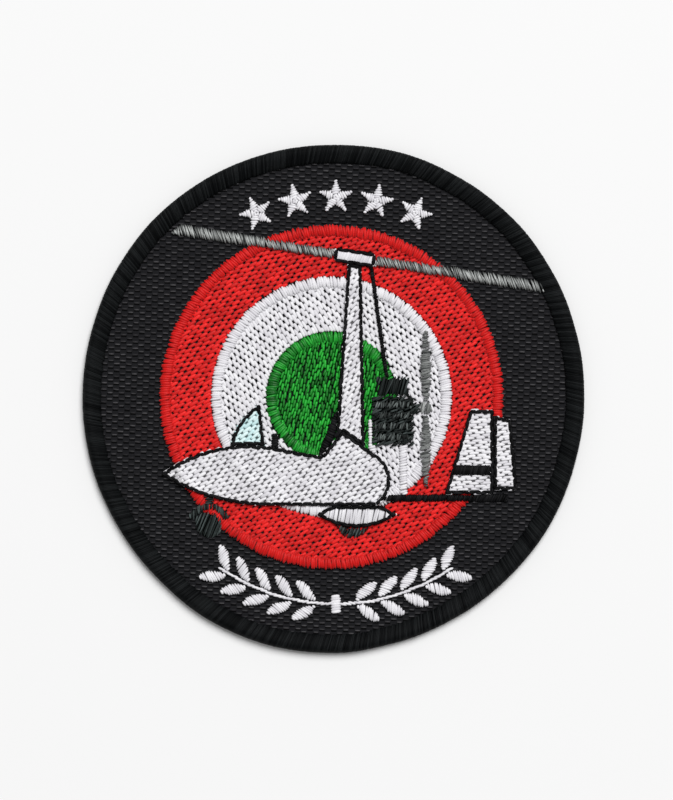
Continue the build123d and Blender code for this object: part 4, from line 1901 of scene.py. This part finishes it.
@dataclass
class Studio:
    """The pale floor, the soft light and the camera straight above."""

    floor_shade: Colour = (243, 243, 243)
    floor_roughness: float = 0.9
    floor_size: float = 3.0
    floor_gap: float = 0.02
    level: float = 1.13
    lamp_share: float = 0.73
    lamp_place: tuple[float, float, float] = (0.8, 1.9, 3.5)
    lamp_size: float = 2.6
    camera_height: float = 1.0
    camera_aim: Range = (0.11, 0.08)
    sensor_height: float = 24.0
    picture_height: float = 126.5
    clip_start: float = 0.01

    def build(self) -> None:
        """Sets up the floor, the light and the camera."""
        bpy.context.scene.view_settings.view_transform = "Standard"
        self.floor()
        self.lamp()
        self.world()
        self.camera()

    def camera(self) -> None:
        """Hangs the camera above the patch, looking straight down."""
        lens = bpy.data.cameras.new("camera")
        lens.sensor_fit = "VERTICAL"
        lens.sensor_height = self.sensor_height
        lens.lens = self.sensor_height * self.camera_height / (self.picture_height * MM)
        lens.clip_start = self.clip_start
        camera = bpy.data.objects.new("camera", lens)
        camera.location = (self.camera_aim[0] * MM, self.camera_aim[1] * MM, self.camera_height)
        bpy.context.scene.collection.objects.link(camera)
        bpy.context.scene.camera = camera

    def floor(self) -> None:
        """Lays the floor just under the patch."""
        deselect_all()
        bpy.ops.mesh.primitive_plane_add(size=self.floor_size, location=(0, 0, -self.floor_gap * MM))
        floor = bpy.context.object
        floor.name = "floor"
        material, _, shader = new_material("floor")
        shader.inputs["Base Color"].default_value = srgb(*self.floor_shade)
        shader.inputs["Roughness"].default_value = self.floor_roughness
        shader.inputs["Specular IOR Level"].default_value = 0.0
        floor.data.materials.append(material)

    def lamp(self) -> None:
        """Hangs one soft lamp above the top edge of the picture."""
        distance = float(np.linalg.norm(self.lamp_place))
        slant = self.lamp_place[2] / distance
        light = bpy.data.lights.new("lamp", "AREA")
        light.shape = "DISK"
        light.size = self.lamp_size
        light.energy = math.pi**2 * self.level * self.lamp_share * distance**2 / slant
        lamp = bpy.data.objects.new("lamp", light)
        lamp.location = self.lamp_place
        lamp.rotation_euler = (-lamp.location).to_track_quat("-Z", "Y").to_euler()
        bpy.context.scene.collection.objects.link(lamp)

    def world(self) -> None:
        """Fills the shadows with even light, and shows white behind the floor."""
        world = bpy.data.worlds.new("world")
        bpy.context.scene.world = world
        world.use_nodes = True
        graph = NodeGraph(world.node_tree)
        background = world.node_tree.nodes["Background"]
        seen = graph.add("ShaderNodeLightPath").outputs["Is Camera Ray"]
        ambient = self.level * (1 - self.lamp_share)
        background.inputs["Color"].default_value = (1.0, 1.0, 1.0, 1.0)
        graph.feed(background.inputs["Strength"], graph.plus(ambient, seen, 1 - ambient))


def main() -> None:
    """Builds the patch from the back to the front, and then the studio."""
    logging.basicConfig(level=logging.INFO, format="%(name)s %(message)s")
    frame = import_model()
    moulds = make_moulds()
    Backing().build()
    Emblem().build(moulds)
    Spray().build(moulds[Stitch.SATIN])
    Figure(frame["nodes"]).build(moulds)
    Border().build()
    Studio().build()


if __name__ == "__main__":
    main()
